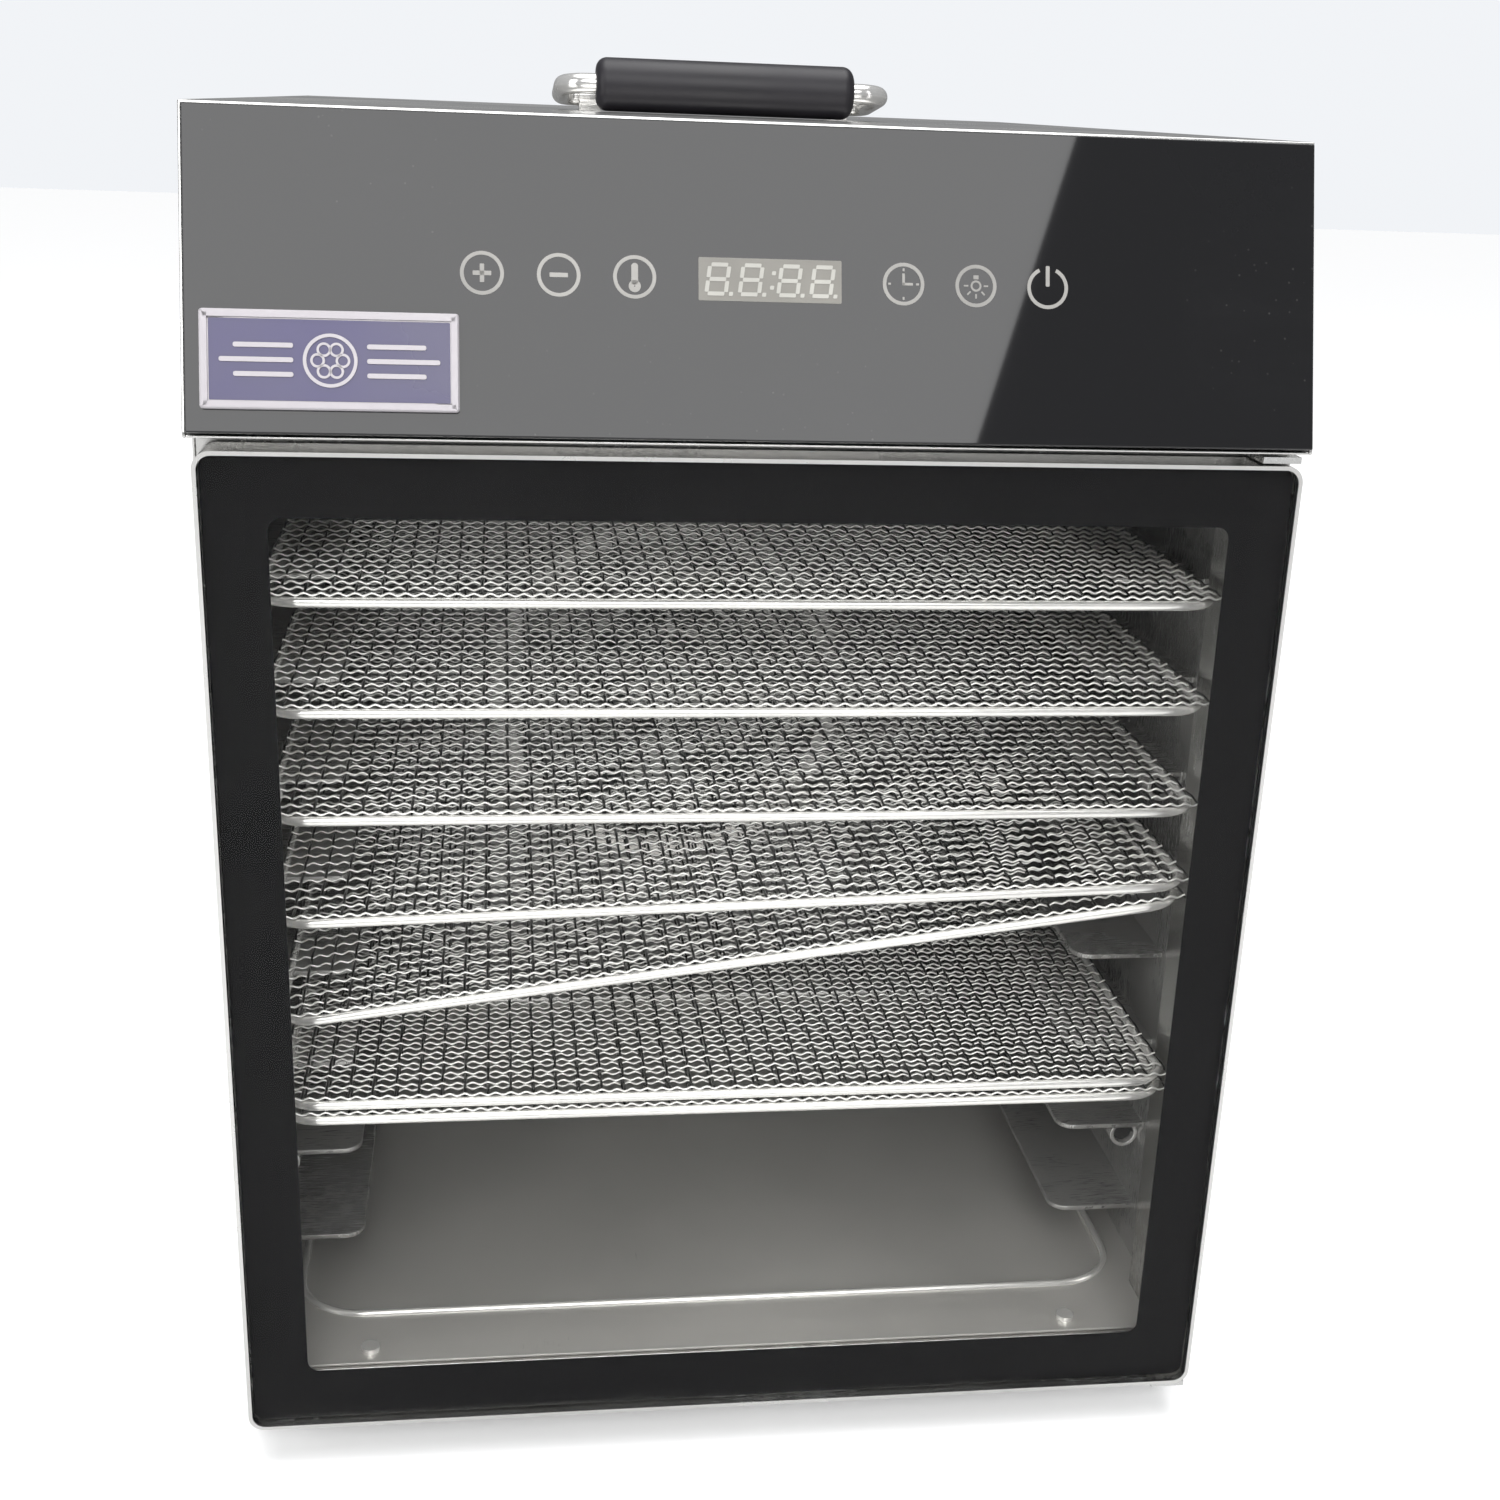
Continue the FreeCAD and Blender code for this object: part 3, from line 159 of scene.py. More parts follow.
def newGroup(name, inputs, outputs):
    tree = bpy.data.node_groups.new(name, "ShaderNodeTree")
    for label, kind, value in inputs:
        socket = tree.interface.new_socket(label, in_out="INPUT", socket_type=kind)
        if value is not None:
            socket.default_value = value
    for label, kind in outputs:
        tree.interface.new_socket(label, in_out="OUTPUT", socket_type=kind)
    return tree, tree.nodes.new("NodeGroupInput"), tree.nodes.new("NodeGroupOutput")


def mathNode(tree, operation, *values, clamp=False):
    node = tree.nodes.new("ShaderNodeMath")
    node.operation = operation
    node.use_clamp = clamp
    for socket, value in zip(node.inputs, values):
        if isinstance(value, (int, float)):
            socket.default_value = value
        else:
            tree.links.new(value, socket)
    return node.outputs[0]


def mixColour(tree, factor, first, second, blend="MIX"):
    node = tree.nodes.new("ShaderNodeMix")
    node.data_type = "RGBA"
    node.blend_type = blend
    for socket, value in ((node.inputs[0], factor), (node.inputs[6], first), (node.inputs[7], second)):
        if isinstance(value, (int, float, tuple)):
            socket.default_value = value
        else:
            tree.links.new(value, socket)
    return node.outputs[2]


def noiseNode(tree, vector, scale, detail=3.0, roughness=0.5):
    node = tree.nodes.new("ShaderNodeTexNoise")
    tree.links.new(vector, node.inputs["Vector"])
    if isinstance(scale, (int, float)):
        node.inputs["Scale"].default_value = scale
    else:
        tree.links.new(scale, node.inputs["Scale"])
    node.inputs["Detail"].default_value = detail
    node.inputs["Roughness"].default_value = roughness
    return node.outputs["Fac"]


def rangeNode(tree, value, low, high, toLow, toHigh):
    node = tree.nodes.new("ShaderNodeMapRange")
    tree.links.new(value, node.inputs[0])
    for socket, number in zip(list(node.inputs)[1:5], (low, high, toLow, toHigh)):
        if isinstance(number, (int, float)):
            socket.default_value = number
        else:
            tree.links.new(number, socket)
    return node.outputs[0]


def makePolishLines():
    # fine lines of a polished or rolled sheet, along one direction set by the stretch
    tree, given, result = newGroup("polishLines", [
        ("Stretch", "NodeSocketVector", (1.0, 1.0, 1.0)),
        ("Scale", "NodeSocketFloat", 900.0),
        ("Rough Low", "NodeSocketFloat", 0.1),
        ("Rough High", "NodeSocketFloat", 0.2),
    ], [("Roughness", "NodeSocketFloat"), ("Height", "NodeSocketFloat"), ("Shade", "NodeSocketFloat")])
    coords = tree.nodes.new("ShaderNodeTexCoord").outputs["Object"]
    scaled = tree.nodes.new("ShaderNodeVectorMath")
    scaled.operation = "MULTIPLY"
    tree.links.new(coords, scaled.inputs[0])
    tree.links.new(given.outputs["Stretch"], scaled.inputs[1])
    lines = noiseNode(tree, scaled.outputs[0], given.outputs["Scale"], 4.0, 0.7)
    cloud = noiseNode(tree, coords, 9.0, 4.0, 0.6)
    blend = mathNode(tree, "ADD", mathNode(tree, "MULTIPLY", lines, 0.55),
                     mathNode(tree, "MULTIPLY", cloud, 0.45))
    rough = rangeNode(tree, blend, 0.3, 0.7, given.outputs["Rough Low"], given.outputs["Rough High"])
    tree.links.new(rough, result.inputs["Roughness"])
    tree.links.new(lines, result.inputs["Height"])
    tree.links.new(cloud, result.inputs["Shade"])
    return tree


def makeHandlingMarks():
    # smears, finger touches and specks of dust that dull a glossy surface here and there
    tree, given, result = newGroup("handlingMarks", [
        ("Amount", "NodeSocketFloat", 0.5),
        ("Scale", "NodeSocketFloat", 14.0),
        ("Dust", "NodeSocketFloat", 0.3),
    ], [("Marks", "NodeSocketFloat"), ("Specks", "NodeSocketFloat")])
    coords = tree.nodes.new("ShaderNodeTexCoord").outputs["Object"]
    smear = noiseNode(tree, coords, given.outputs["Scale"], 6.0, 0.65)
    streak = tree.nodes.new("ShaderNodeVectorMath")
    streak.operation = "MULTIPLY"
    tree.links.new(coords, streak.inputs[0])
    streak.inputs[1].default_value = (5.0, 5.0, 26.0)
    wipes = noiseNode(tree, streak.outputs[0], 3.0, 5.0, 0.6)
    joined = mathNode(tree, "MULTIPLY", rangeNode(tree, smear, 0.5, 0.75, 0.0, 1.0),
                      rangeNode(tree, wipes, 0.4, 0.7, 0.2, 1.0))
    marks = mathNode(tree, "MULTIPLY", joined, given.outputs["Amount"], clamp=True)
    cells = tree.nodes.new("ShaderNodeTexVoronoi")
    cells.inputs["Scale"].default_value = 260.0
    tree.links.new(coords, cells.inputs["Vector"])
    dots = rangeNode(tree, cells.outputs["Distance"], 0.05, 0.11, 1.0, 0.0)
    thinned = mathNode(tree, "MULTIPLY", dots, rangeNode(tree, smear, 0.52, 0.62, 0.0, 1.0))
    specks = mathNode(tree, "MULTIPLY", thinned, given.outputs["Dust"], clamp=True)
    tree.links.new(marks, result.inputs["Marks"])
    tree.links.new(specks, result.inputs["Specks"])
    return tree


def makeMouldedSkin():
    # fine grain and slow unevenness of moulded plastic and rubber
    tree, given, result = newGroup("mouldedSkin", [
        ("Grain", "NodeSocketFloat", 1400.0),
        ("Rough Low", "NodeSocketFloat", 0.4),
        ("Rough High", "NodeSocketFloat", 0.6),
    ], [("Roughness", "NodeSocketFloat"), ("Height", "NodeSocketFloat"), ("Shade", "NodeSocketFloat")])
    coords = tree.nodes.new("ShaderNodeTexCoord").outputs["Object"]
    grain = noiseNode(tree, coords, given.outputs["Grain"], 2.0, 0.6)
    cloud = noiseNode(tree, coords, 22.0, 4.0, 0.6)
    rough = rangeNode(tree, cloud, 0.3, 0.7, given.outputs["Rough Low"], given.outputs["Rough High"])
    tree.links.new(rough, result.inputs["Roughness"])
    tree.links.new(grain, result.inputs["Height"])
    tree.links.new(cloud, result.inputs["Shade"])
    return tree


def makeEdgeWear():
    # lighter, rubbed corners found from the bevelled normal
    tree, given, result = newGroup("edgeWear", [("Radius", "NodeSocketFloat", 0.0008),
                                               ("Amount", "NodeSocketFloat", 0.5)],
                                   [("Wear", "NodeSocketFloat")])
    geometry = tree.nodes.new("ShaderNodeNewGeometry")
    bevel = tree.nodes.new("ShaderNodeBevel")
    bevel.samples = 4
    tree.links.new(given.outputs["Radius"], bevel.inputs["Radius"])
    dot = tree.nodes.new("ShaderNodeVectorMath")
    dot.operation = "DOT_PRODUCT"
    tree.links.new(bevel.outputs[0], dot.inputs[0])
    tree.links.new(geometry.outputs["Normal"], dot.inputs[1])
    coords = tree.nodes.new("ShaderNodeTexCoord").outputs["Object"]
    patchy = noiseNode(tree, coords, 60.0, 4.0, 0.7)
    edge = rangeNode(tree, dot.outputs["Value"], 0.9, 1.0, 1.0, 0.0)
    worn = mathNode(tree, "MULTIPLY", edge, rangeNode(tree, patchy, 0.35, 0.65, 0.2, 1.0))
    tree.links.new(mathNode(tree, "MULTIPLY", worn, given.outputs["Amount"], clamp=True),
                   result.inputs["Wear"])
    return tree


polishLines = makePolishLines()
handlingMarks = makeHandlingMarks()
mouldedSkin = makeMouldedSkin()
edgeWear = makeEdgeWear()



def newMaterial(name):
    material = bpy.data.materials.new(name)
    material.use_nodes = True
    tree = material.node_tree
    shader = next(node for node in tree.nodes if node.type == "BSDF_PRINCIPLED")
    return material, tree, shader


def placeGroup(tree, group, **values):
    node = tree.nodes.new("ShaderNodeGroup")
    node.node_tree = group
    for label, value in values.items():
        node.inputs[label.replace("_", " ")].default_value = value
    return node


def addBump(tree, shader, height, strength, distance):
    bump = tree.nodes.new("ShaderNodeBump")
    bump.inputs["Strength"].default_value = strength
    bump.inputs["Distance"].default_value = distance
    tree.links.new(height, bump.inputs["Height"])
    tree.links.new(bump.outputs[0], shader.inputs["Normal"])


def makeMetal(name, colour, lowRough, highRough, stretch, scale=900.0, bump=0.05, marks=0.15, wear=0.0,
              tint=0.06, metallic=1.0):
    # bare metal with its grain, slow tone changes and a few handling marks
    material, tree, shader = newMaterial(name)
    shader.inputs["Metallic"].default_value = metallic
    lines = placeGroup(tree, polishLines, Stretch=stretch, Scale=scale, Rough_Low=lowRough,
                       Rough_High=highRough)
    smears = placeGroup(tree, handlingMarks, Amount=marks, Scale=18.0, Dust=marks)
    dark = tuple(value * (1 - tint) for value in colour) + (1.0,)
    light = tuple(min(value * (1 + tint), 1.0) for value in colour) + (1.0,)
    shade = rangeNode(tree, lines.outputs["Shade"], 0.35, 0.65, 0.0, 1.0)
    base = mixColour(tree, shade, dark, light)
    if wear:
        rubbed = placeGroup(tree, edgeWear, Radius=0.0007, Amount=wear)
        base = mixColour(tree, rubbed.outputs["Wear"], base, (0.85, 0.85, 0.84, 1.0))
    tree.links.new(mixColour(tree, smears.outputs["Specks"], base, (0.42, 0.4, 0.37, 1.0)),
                   shader.inputs["Base Color"])
    rough = mathNode(tree, "ADD", lines.outputs["Roughness"],
                     mathNode(tree, "MULTIPLY", smears.outputs["Marks"], 0.5), clamp=True)
    tree.links.new(rough, shader.inputs["Roughness"])
    addBump(tree, shader, lines.outputs["Height"], bump, 0.0002)
    return material


def makePlastic(name, colour, lowRough, highRough, grain=1400.0, bump=0.15, tint=0.15, coat=0.0,
                wear=0.0):
    # moulded plastic, rubber or paint
    material, tree, shader = newMaterial(name)
    skin = placeGroup(tree, mouldedSkin, Grain=grain, Rough_Low=lowRough, Rough_High=highRough)
    dark = tuple(value * (1 - tint) for value in colour) + (1.0,)
    light = tuple(min(value * (1 + tint), 1.0) for value in colour) + (1.0,)
    shade = rangeNode(tree, skin.outputs["Shade"], 0.35, 0.65, 0.0, 1.0)
    base = mixColour(tree, shade, dark, light)
    if wear:
        rubbed = placeGroup(tree, edgeWear, Radius=0.0006, Amount=wear)
        paler = tuple(min(value * 3 + 0.05, 1) for value in colour) + (1.0,)
        base = mixColour(tree, rubbed.outputs["Wear"], base, paler)
    tree.links.new(base, shader.inputs["Base Color"])
    tree.links.new(skin.outputs["Roughness"], shader.inputs["Roughness"])
    shader.inputs["Coat Weight"].default_value = coat
    shader.inputs["Coat Roughness"].default_value = 0.08
    addBump(tree, shader, skin.outputs["Height"], bump, 0.0002)
    return material


def makeGloss(name, colour, roughness, marks=0.3, coat=0.0, ior=1.5, specular=0.5):
    # smooth glossy face with faint wipes and specks
    material, tree, shader = newMaterial(name)
    smears = placeGroup(tree, handlingMarks, Amount=marks, Scale=12.0, Dust=marks)
    base = mixColour(tree, mathNode(tree, "MULTIPLY", smears.outputs["Marks"], 0.06), (*colour, 1.0),
                     (0.5, 0.5, 0.5, 1.0))
    tree.links.new(mixColour(tree, mathNode(tree, "MULTIPLY", smears.outputs["Specks"], 0.5), base,
                             (0.55, 0.53, 0.5, 1.0)), shader.inputs["Base Color"])
    rough = mathNode(tree, "ADD", mathNode(tree, "MULTIPLY", smears.outputs["Marks"], 0.25), roughness)
    tree.links.new(rough, shader.inputs["Roughness"])
    shader.inputs["IOR"].default_value = ior
    shader.inputs["Specular IOR Level"].default_value = specular
    shader.inputs["Coat Weight"].default_value = coat
    shader.inputs["Coat Roughness"].default_value = 0.02
    return material


def makeClearGlass(name, tone, marks=0.25, ior=1.14):
    # clear pane: wipes show as faint roughness, and lamps shine through it
    material, tree, shader = newMaterial(name)
    smears = placeGroup(tree, handlingMarks, Amount=marks, Scale=10.0, Dust=0.2)
    tree.links.new(mixColour(tree, smears.outputs["Specks"], (*tone, 1.0), (0.8, 0.8, 0.78, 1.0)),
                   shader.inputs["Base Color"])
    rough = mathNode(tree, "MULTIPLY", smears.outputs["Marks"], 0.05)
    tree.links.new(rough, shader.inputs["Roughness"])
    shader.inputs["IOR"].default_value = ior
    shader.inputs["Transmission Weight"].default_value = 1.0
    output = next(node for node in tree.nodes if node.type == "OUTPUT_MATERIAL")
    lampRay = tree.nodes.new("ShaderNodeLightPath").outputs["Is Shadow Ray"]
    clear = tree.nodes.new("ShaderNodeBsdfTransparent")
    clear.inputs["Color"].default_value = (0.95, 0.95, 0.945, 1.0)
    mixer = tree.nodes.new("ShaderNodeMixShader")
    tree.links.new(lampRay, mixer.inputs[0])
    tree.links.new(shader.outputs[0], mixer.inputs[1])
    tree.links.new(clear.outputs[0], mixer.inputs[2])
    tree.links.new(mixer.outputs[0], output.inputs["Surface"])
    return material


polishedSteel = makeMetal("polishedSteel", (0.64, 0.635, 0.62), 0.17, 0.3, (1, 30, 1), 120.0, 0.05,
                          0.25)
chamberSteel = makeMetal("chamberSteel", (0.4, 0.395, 0.385), 0.2, 0.34, (1, 30, 1), 120.0, 0.05, 0.3,
                         metallic=0.7)
floorSteel = makeMetal("floorSteel", (0.46, 0.45, 0.43), 0.26, 0.4, (30, 1, 1), 120.0, 0.05, 0.35,
                       metallic=0.45)
# a darker copy of the chamber steel for the ceiling and rear baffle, as painted shade
paintedShadeSteel = makeMetal("paintedShadeSteel", (0.2, 0.2, 0.2), 0.25, 0.4, (30, 1, 1), 120.0, 0.05, 0.3)
backSteel = makeMetal("backSteel", (0.5, 0.5, 0.49), 0.26, 0.4, (30, 1, 1), 120.0, 0.06, 0.25)
smallSteel = makeMetal("smallSteel", (0.6, 0.6, 0.59), 0.18, 0.34, (1, 1, 1), 700.0, 0.06, 0.2, 0.3)
brightWire = makeMetal("brightWire", (0.88, 0.87, 0.85), 0.1, 0.22, (1, 1, 1), 900.0, 0.05, 0.12,
                       metallic=0.7)
# the woven wires are one steel: a near-white copy for the across wires as painted highlight and a
# near-black copy for the wires that run back as painted shade
highlightMeshWire = makeMetal("highlightMeshWire", (0.97, 0.96, 0.93), 0.14, 0.26, (1, 1, 1), 1200.0, 0.06, 0.1,
                     0.0, 0.05, metallic=0.5)
shadedWarpWire = makeMetal("shadedWarpWire", (0.09, 0.089, 0.085), 0.22, 0.36, (1, 1, 1), 1200.0, 0.06, 0.1,
                     0.0, 0.15)
fanMetal = makeMetal("fanMetal", (0.68, 0.69, 0.7), 0.28, 0.42, (1, 1, 1), 500.0, 0.1, 0.3, 0.2)
heaterMetal = makeMetal("heaterMetal", (0.2, 0.17, 0.15), 0.35, 0.55, (1, 1, 1), 400.0, 0.1, 0.3,
                        0.0, 0.3)
motorPaint = makePlastic("motorPaint", (0.045, 0.047, 0.052), 0.35, 0.5, 900.0, 0.1, 0.15, 0.1, 0.4)
blackPlastic = makePlastic("blackPlastic", (0.018, 0.018, 0.02), 0.42, 0.6, wear=0.1)
whitePlastic = makePlastic("whitePlastic", (0.62, 0.61, 0.58), 0.38, 0.5)
gripPlastic = makePlastic("gripPlastic", (0.012, 0.0105, 0.0145), 0.4, 0.5, 1800.0, 0.08, 0.15,
                          0.0, 0.05)
sealRubber = makePlastic("sealRubber", (0.02, 0.02, 0.021), 0.6, 0.75)
footRubber = makePlastic("footRubber", (0.016, 0.016, 0.017), 0.6, 0.8, 700.0, 0.3)
magnetPlate = makeMetal("magnetPlate", (0.3, 0.3, 0.31), 0.3, 0.45, (1, 1, 1), 600.0, 0.06, 0.2)
boardGreen = makePlastic("boardGreen", (0.02, 0.11, 0.05), 0.3, 0.42, 500.0, 0.12, 0.25, 0.3)
panelBlack = makeGloss("panelBlack", (0.012, 0.012, 0.013), 0.025, 0.15, 0.0, 1.46)
printBlack = makeGloss("printBlack", (0.004, 0.004, 0.0045), 0.3, 0.1, 0.0, 1.3, 0.12)
markPrint = makePlastic("markPrint", (0.37, 0.36, 0.34), 0.4, 0.55, 900.0, 0.05)
displayTone = makePlastic("displayTone", (0.25, 0.24, 0.215), 0.35, 0.45, 900.0, 0.04)
digitPrint = makePlastic("digitPrint", (0.5, 0.49, 0.45), 0.35, 0.45, 900.0, 0.04)
badgeRim = makeMetal("badgeRim", (0.4, 0.38, 0.4), 0.34, 0.46, (1, 1, 1), 900.0, 0.06, 0.1,
                     metallic=0.5)
badgeEnamel = makePlastic("badgeEnamel", (0.04, 0.032, 0.12), 0.24, 0.36, 700.0, 0.1, 0.12, 0.25)
paneGlass = makeClearGlass("paneGlass", (0.97, 0.97, 0.96))
print("materials made")



tray = {"acrossWires": 39, "alongWires": 41, "acrossRadius": 0.00045, "alongRadius": 0.0005,
        "acrossWave": 0.00047, "alongWave": 0.00042, "acrossCrimps": 3, "alongCrimps": 1,
        "acrossSteps": 9, "alongSteps": 2, "sides": 4, "rodRadius": 0.0017, "rise": 0.0026}


def crimpedWire(mesh, length, pitch, radius, wave, crimps, steps, phase):
    # one wire along X with an odd number of crimps between neighbours, so it passes over and under them
    count = round(length / pitch) * steps
    ring = bmesh.ops.create_circle(mesh, segments=tray["sides"], radius=radius, cap_ends=False,
                                   matrix=Matrix.Rotation(math.pi / 2, 4, "Y"))["verts"]
    made = list(ring)
    edges = list({edge for vert in ring for edge in vert.link_edges})
    for _ in range(count):
        grown = bmesh.ops.extrude_edge_only(mesh, edges=edges)["geom"]
        verts = [item for item in grown if isinstance(item, bmesh.types.BMVert)]
        edges = [item for item in grown if isinstance(item, bmesh.types.BMEdge)
                 and item.verts[0] in verts and item.verts[1] in verts]
        bmesh.ops.translate(mesh, vec=(length / count, 0, 0), verts=verts)
        made.extend(verts)
    for vert in made:
        vert.co.z += wave * math.cos(vert.co.x / pitch * math.pi * crimps + phase)
        vert.co.x -= length / 2
    return made


def spreadCopies(mesh, verts, step, copies):
    # copies of a wire at equal steps
    geometry = verts + list({edge for v in verts for edge in v.link_edges})
    geometry += list({face for v in verts for face in v.link_faces})
    for i in range(1, copies):
        copied = bmesh.ops.duplicate(mesh, geom=geometry)["geom"]
        moved = [item for item in copied if isinstance(item, bmesh.types.BMVert)]
        bmesh.ops.translate(mesh, vec=tuple(value * i for value in step), verts=moved)


def wovenSheet(width, depth):
    # bright wires across, each crimped three times between the plain ones that run back; the across wires
    # carry a near-white painted highlight and the ones that run back a near-black painted shade
    mesh = bmesh.new()
    pitchX = width / (tray["alongWires"] - 1)
    pitchY = depth / (tray["acrossWires"] - 1)
    for parity in (0, 1):
        across = crimpedWire(mesh, width, pitchX, tray["acrossRadius"], tray["acrossWave"],
                             tray["acrossCrimps"], tray["acrossSteps"], parity * math.pi)
        bmesh.ops.translate(mesh, vec=(0, -depth / 2 + parity * pitchY, 0), verts=across)
        spreadCopies(mesh, across, (0, 2 * pitchY, 0), (tray["acrossWires"] + 1 - parity) // 2)
        acrossFaces = len(mesh.faces)
        along = crimpedWire(mesh, depth, pitchY, tray["alongRadius"], tray["alongWave"],
                            tray["alongCrimps"], tray["alongSteps"], (parity + 1) * math.pi)
        bmesh.ops.rotate(mesh, cent=(0, 0, 0), matrix=Matrix.Rotation(math.pi / 2, 3, "Z"), verts=along)
        bmesh.ops.translate(mesh, vec=(-width / 2 + parity * pitchX, 0, 0), verts=along)
        spreadCopies(mesh, along, (2 * pitchX, 0, 0), (tray["alongWires"] + 1 - parity) // 2)
        # the wires that run back take the second material, the near-black painted shade
        mesh.faces.ensure_lookup_table()
        for face in mesh.faces[acrossFaces:]:
            face.material_index = 1
    bmesh.ops.recalc_face_normals(mesh, faces=mesh.faces[:])
    return mesh


def buildTrays():
    rod = tray["rodRadius"]
    low, high = lowHigh("tray_1_frame")
    halfWidth = (high.x - low.x) / 2 - rod
    halfDepth = (high.y - low.y) / 2 - rod
    flat = wovenSheet(2 * halfWidth, 2 * halfDepth)
    flatData = bpy.data.meshes.new("flatSheet")
    flat.to_mesh(flatData)
    flat.free()
    for number in range(1, 8):
        low, high = lowHigh(f"tray_{number}_frame")
        lift = (high.z - low.z - 2 * rod) / (2 * halfWidth)
        turn = Matrix.Rotation(-math.asin(max(min(lift, 1), 0)), 4, "Y")
        place = Matrix.Translation((low + high) / 2) @ turn @ Matrix.Translation((0, 0, tray["rise"]))
        mesh = bmesh.new()
        mesh.from_mesh(flatData)
        bmesh.ops.transform(mesh, matrix=place, verts=mesh.verts[:])
        piece = makePiece(f"tray_{number}_weave", mesh, f"tray_{number}", highlightMeshWire,
                          hides=(f"tray_{number}_mesh",))
        piece.data.materials.append(shadedWarpWire)
        softened(f"tray_{number}_frame", f"tray_{number}", "wire_chrome", brightWire, 0)


buildTrays()
print("trays woven")



door = {"border": 0.019, "windowRadius": 0.004, "printRadius": 0.0038, "printPlay": 0.0004,
        "printDepth": 0.00025, "printLift": 0.00005, "edgeEase": 0.0004, "glassEase": 0.0003}


def doorPlace(depth):
    # local XY lies in the door's plane, local Z points out of its front
    low, high = lowHigh("door_glass")
    centre = (low + high) / 2
    return Matrix.Translation((centre.x, depth, centre.z)) @ Matrix.Rotation(math.pi / 2, 4, "X")


def buildDoorPrint():
    low, high = lowHigh("door_glass")
    halfX = (high.x - low.x) / 2 - door["printPlay"]
    halfZ = (high.z - low.z) / 2 - door["printPlay"]
    mesh = bmesh.new()
    outer = roundedOutline(mesh, halfX, halfZ, door["printRadius"])
    outerEdges = outer.edges[:]
    bmesh.ops.delete(mesh, geom=[outer], context="FACES_ONLY")
    inner = roundedOutline(mesh, halfX - door["border"], halfZ - door["border"],
                           door["windowRadius"])
    innerEdges = inner.edges[:]
    bmesh.ops.delete(mesh, geom=[inner], context="FACES_ONLY")
    bmesh.ops.bridge_loops(mesh, edges=outerEdges + innerEdges)
    raised(mesh, mesh.faces[:], door["printDepth"])
    bmesh.ops.recalc_face_normals(mesh, faces=mesh.faces[:])
    behind = high.y + door["printDepth"] + door["printLift"]
    bmesh.ops.transform(mesh, matrix=doorPlace(behind), verts=mesh.verts[:])
    makePiece("doorPrint", mesh, "door", printBlack, smooth=False)


buildDoorPrint()
softened("door_trim", "door", "polished_steel", polishedSteel, door["edgeEase"])
softened("door_glass", "door", "clear_glass", paneGlass, door["glassEase"])
print("door built")



panel = {"lean": 17.5, "slope": 0.0944, "edgeEase": 0.0005, "proud": 0.00012}
marks = {"height": 0.0479, "first": 0.0406, "pitch": 0.0224, "ring": 0.0064, "line": 0.0011,
         "sign": (0.0027, 0.00065), "bulb": 0.0018, "stem": (0.0010, 0.0032),
         "hand": (0.0004, 0.0018), "tick": (0.00045, 0.0003), "tickReach": 0.0043,
         "lamp": (0.0017, 0.0011), "cap": (0.0008, 0.0006), "ray": (0.0007, 0.00025),
         "rayReach": 0.0031, "switch": (0.0006, 0.0031)}


def panelPlace():
    # local X across, Y up the slope from the glass's lower edge, Z out of the glass
    low, high = lowHigh("control_glass")
    foot = Vector((0, low.y, high.z - panel["slope"] * math.cos(math.radians(panel["lean"]))))
    return Matrix.Translation(foot) @ Matrix.Rotation(math.radians(90 - panel["lean"]), 4, "X")


def addBar(mesh, x, y, halfX, halfY, radius, turn=0.0, height=0.0, thickness=panel["proud"]):
    # a flat bar with rounded ends, raised off its ground and turned about its middle
    shape = bmesh.new()
    face = roundedOutline(shape, halfX, halfY, radius, segments=4)
    raised(shape, [face], thickness)
    bmesh.ops.recalc_face_normals(shape, faces=shape.faces[:])
    place = Matrix.Translation((x, y, height)) @ Matrix.Rotation(turn, 4, "Z")
    bmesh.ops.transform(shape, matrix=place, verts=shape.verts[:])
    holder = bpy.data.meshes.new("bar")
    shape.to_mesh(holder)
    shape.free()
    mesh.from_mesh(holder)
    bpy.data.meshes.remove(holder)


def addSymbol(mesh, kind, x, y):
    proud = panel["proud"]
    ring, line = marks["ring"], marks["line"]
    if kind != "power":
        ringFace(mesh, ring, ring - line, proud, (x, y))
    if kind in ("plus", "minus"):
        addBar(mesh, x, y, *marks["sign"], 0.0002)
    if kind == "plus":
        addBar(mesh, x, y, *reversed(marks["sign"]), 0.0002)
    if kind == "heat":
        addBar(mesh, x, y + 0.0009, *marks["stem"], 0.0009)
        ringFace(mesh, marks["bulb"], 0.0002, proud, (x, y - 0.0027), 24)
    if kind == "clock":
        addBar(mesh, x, y + 0.0014, *marks["hand"], 0.0002)
        addBar(mesh, x + 0.0013, y, 0.0016, marks["hand"][0], 0.0002)
        for i in range(4):
            angle = i * math.pi / 2
            addBar(mesh, x + marks["tickReach"] * math.cos(angle),
                   y + marks["tickReach"] * math.sin(angle), *marks["tick"], 0.0001, angle)
    if kind == "light":
        ringFace(mesh, *marks["lamp"], proud, (x, y), 24)
        addBar(mesh, x, y + 0.0026, *marks["cap"], 0.0001)
        for i in range(5):
            angle = math.radians(180 + i * 45)
            addBar(mesh, x + marks["rayReach"] * math.cos(angle),
                   y + marks["rayReach"] * math.sin(angle), *marks["ray"], 0.0001, angle)
    if kind == "power":
        ringFace(mesh, ring, ring - line, proud, (x, y), 48, math.radians(116), math.radians(308))
        addBar(mesh, x, y + 0.0035, *marks["switch"], 0.0003)


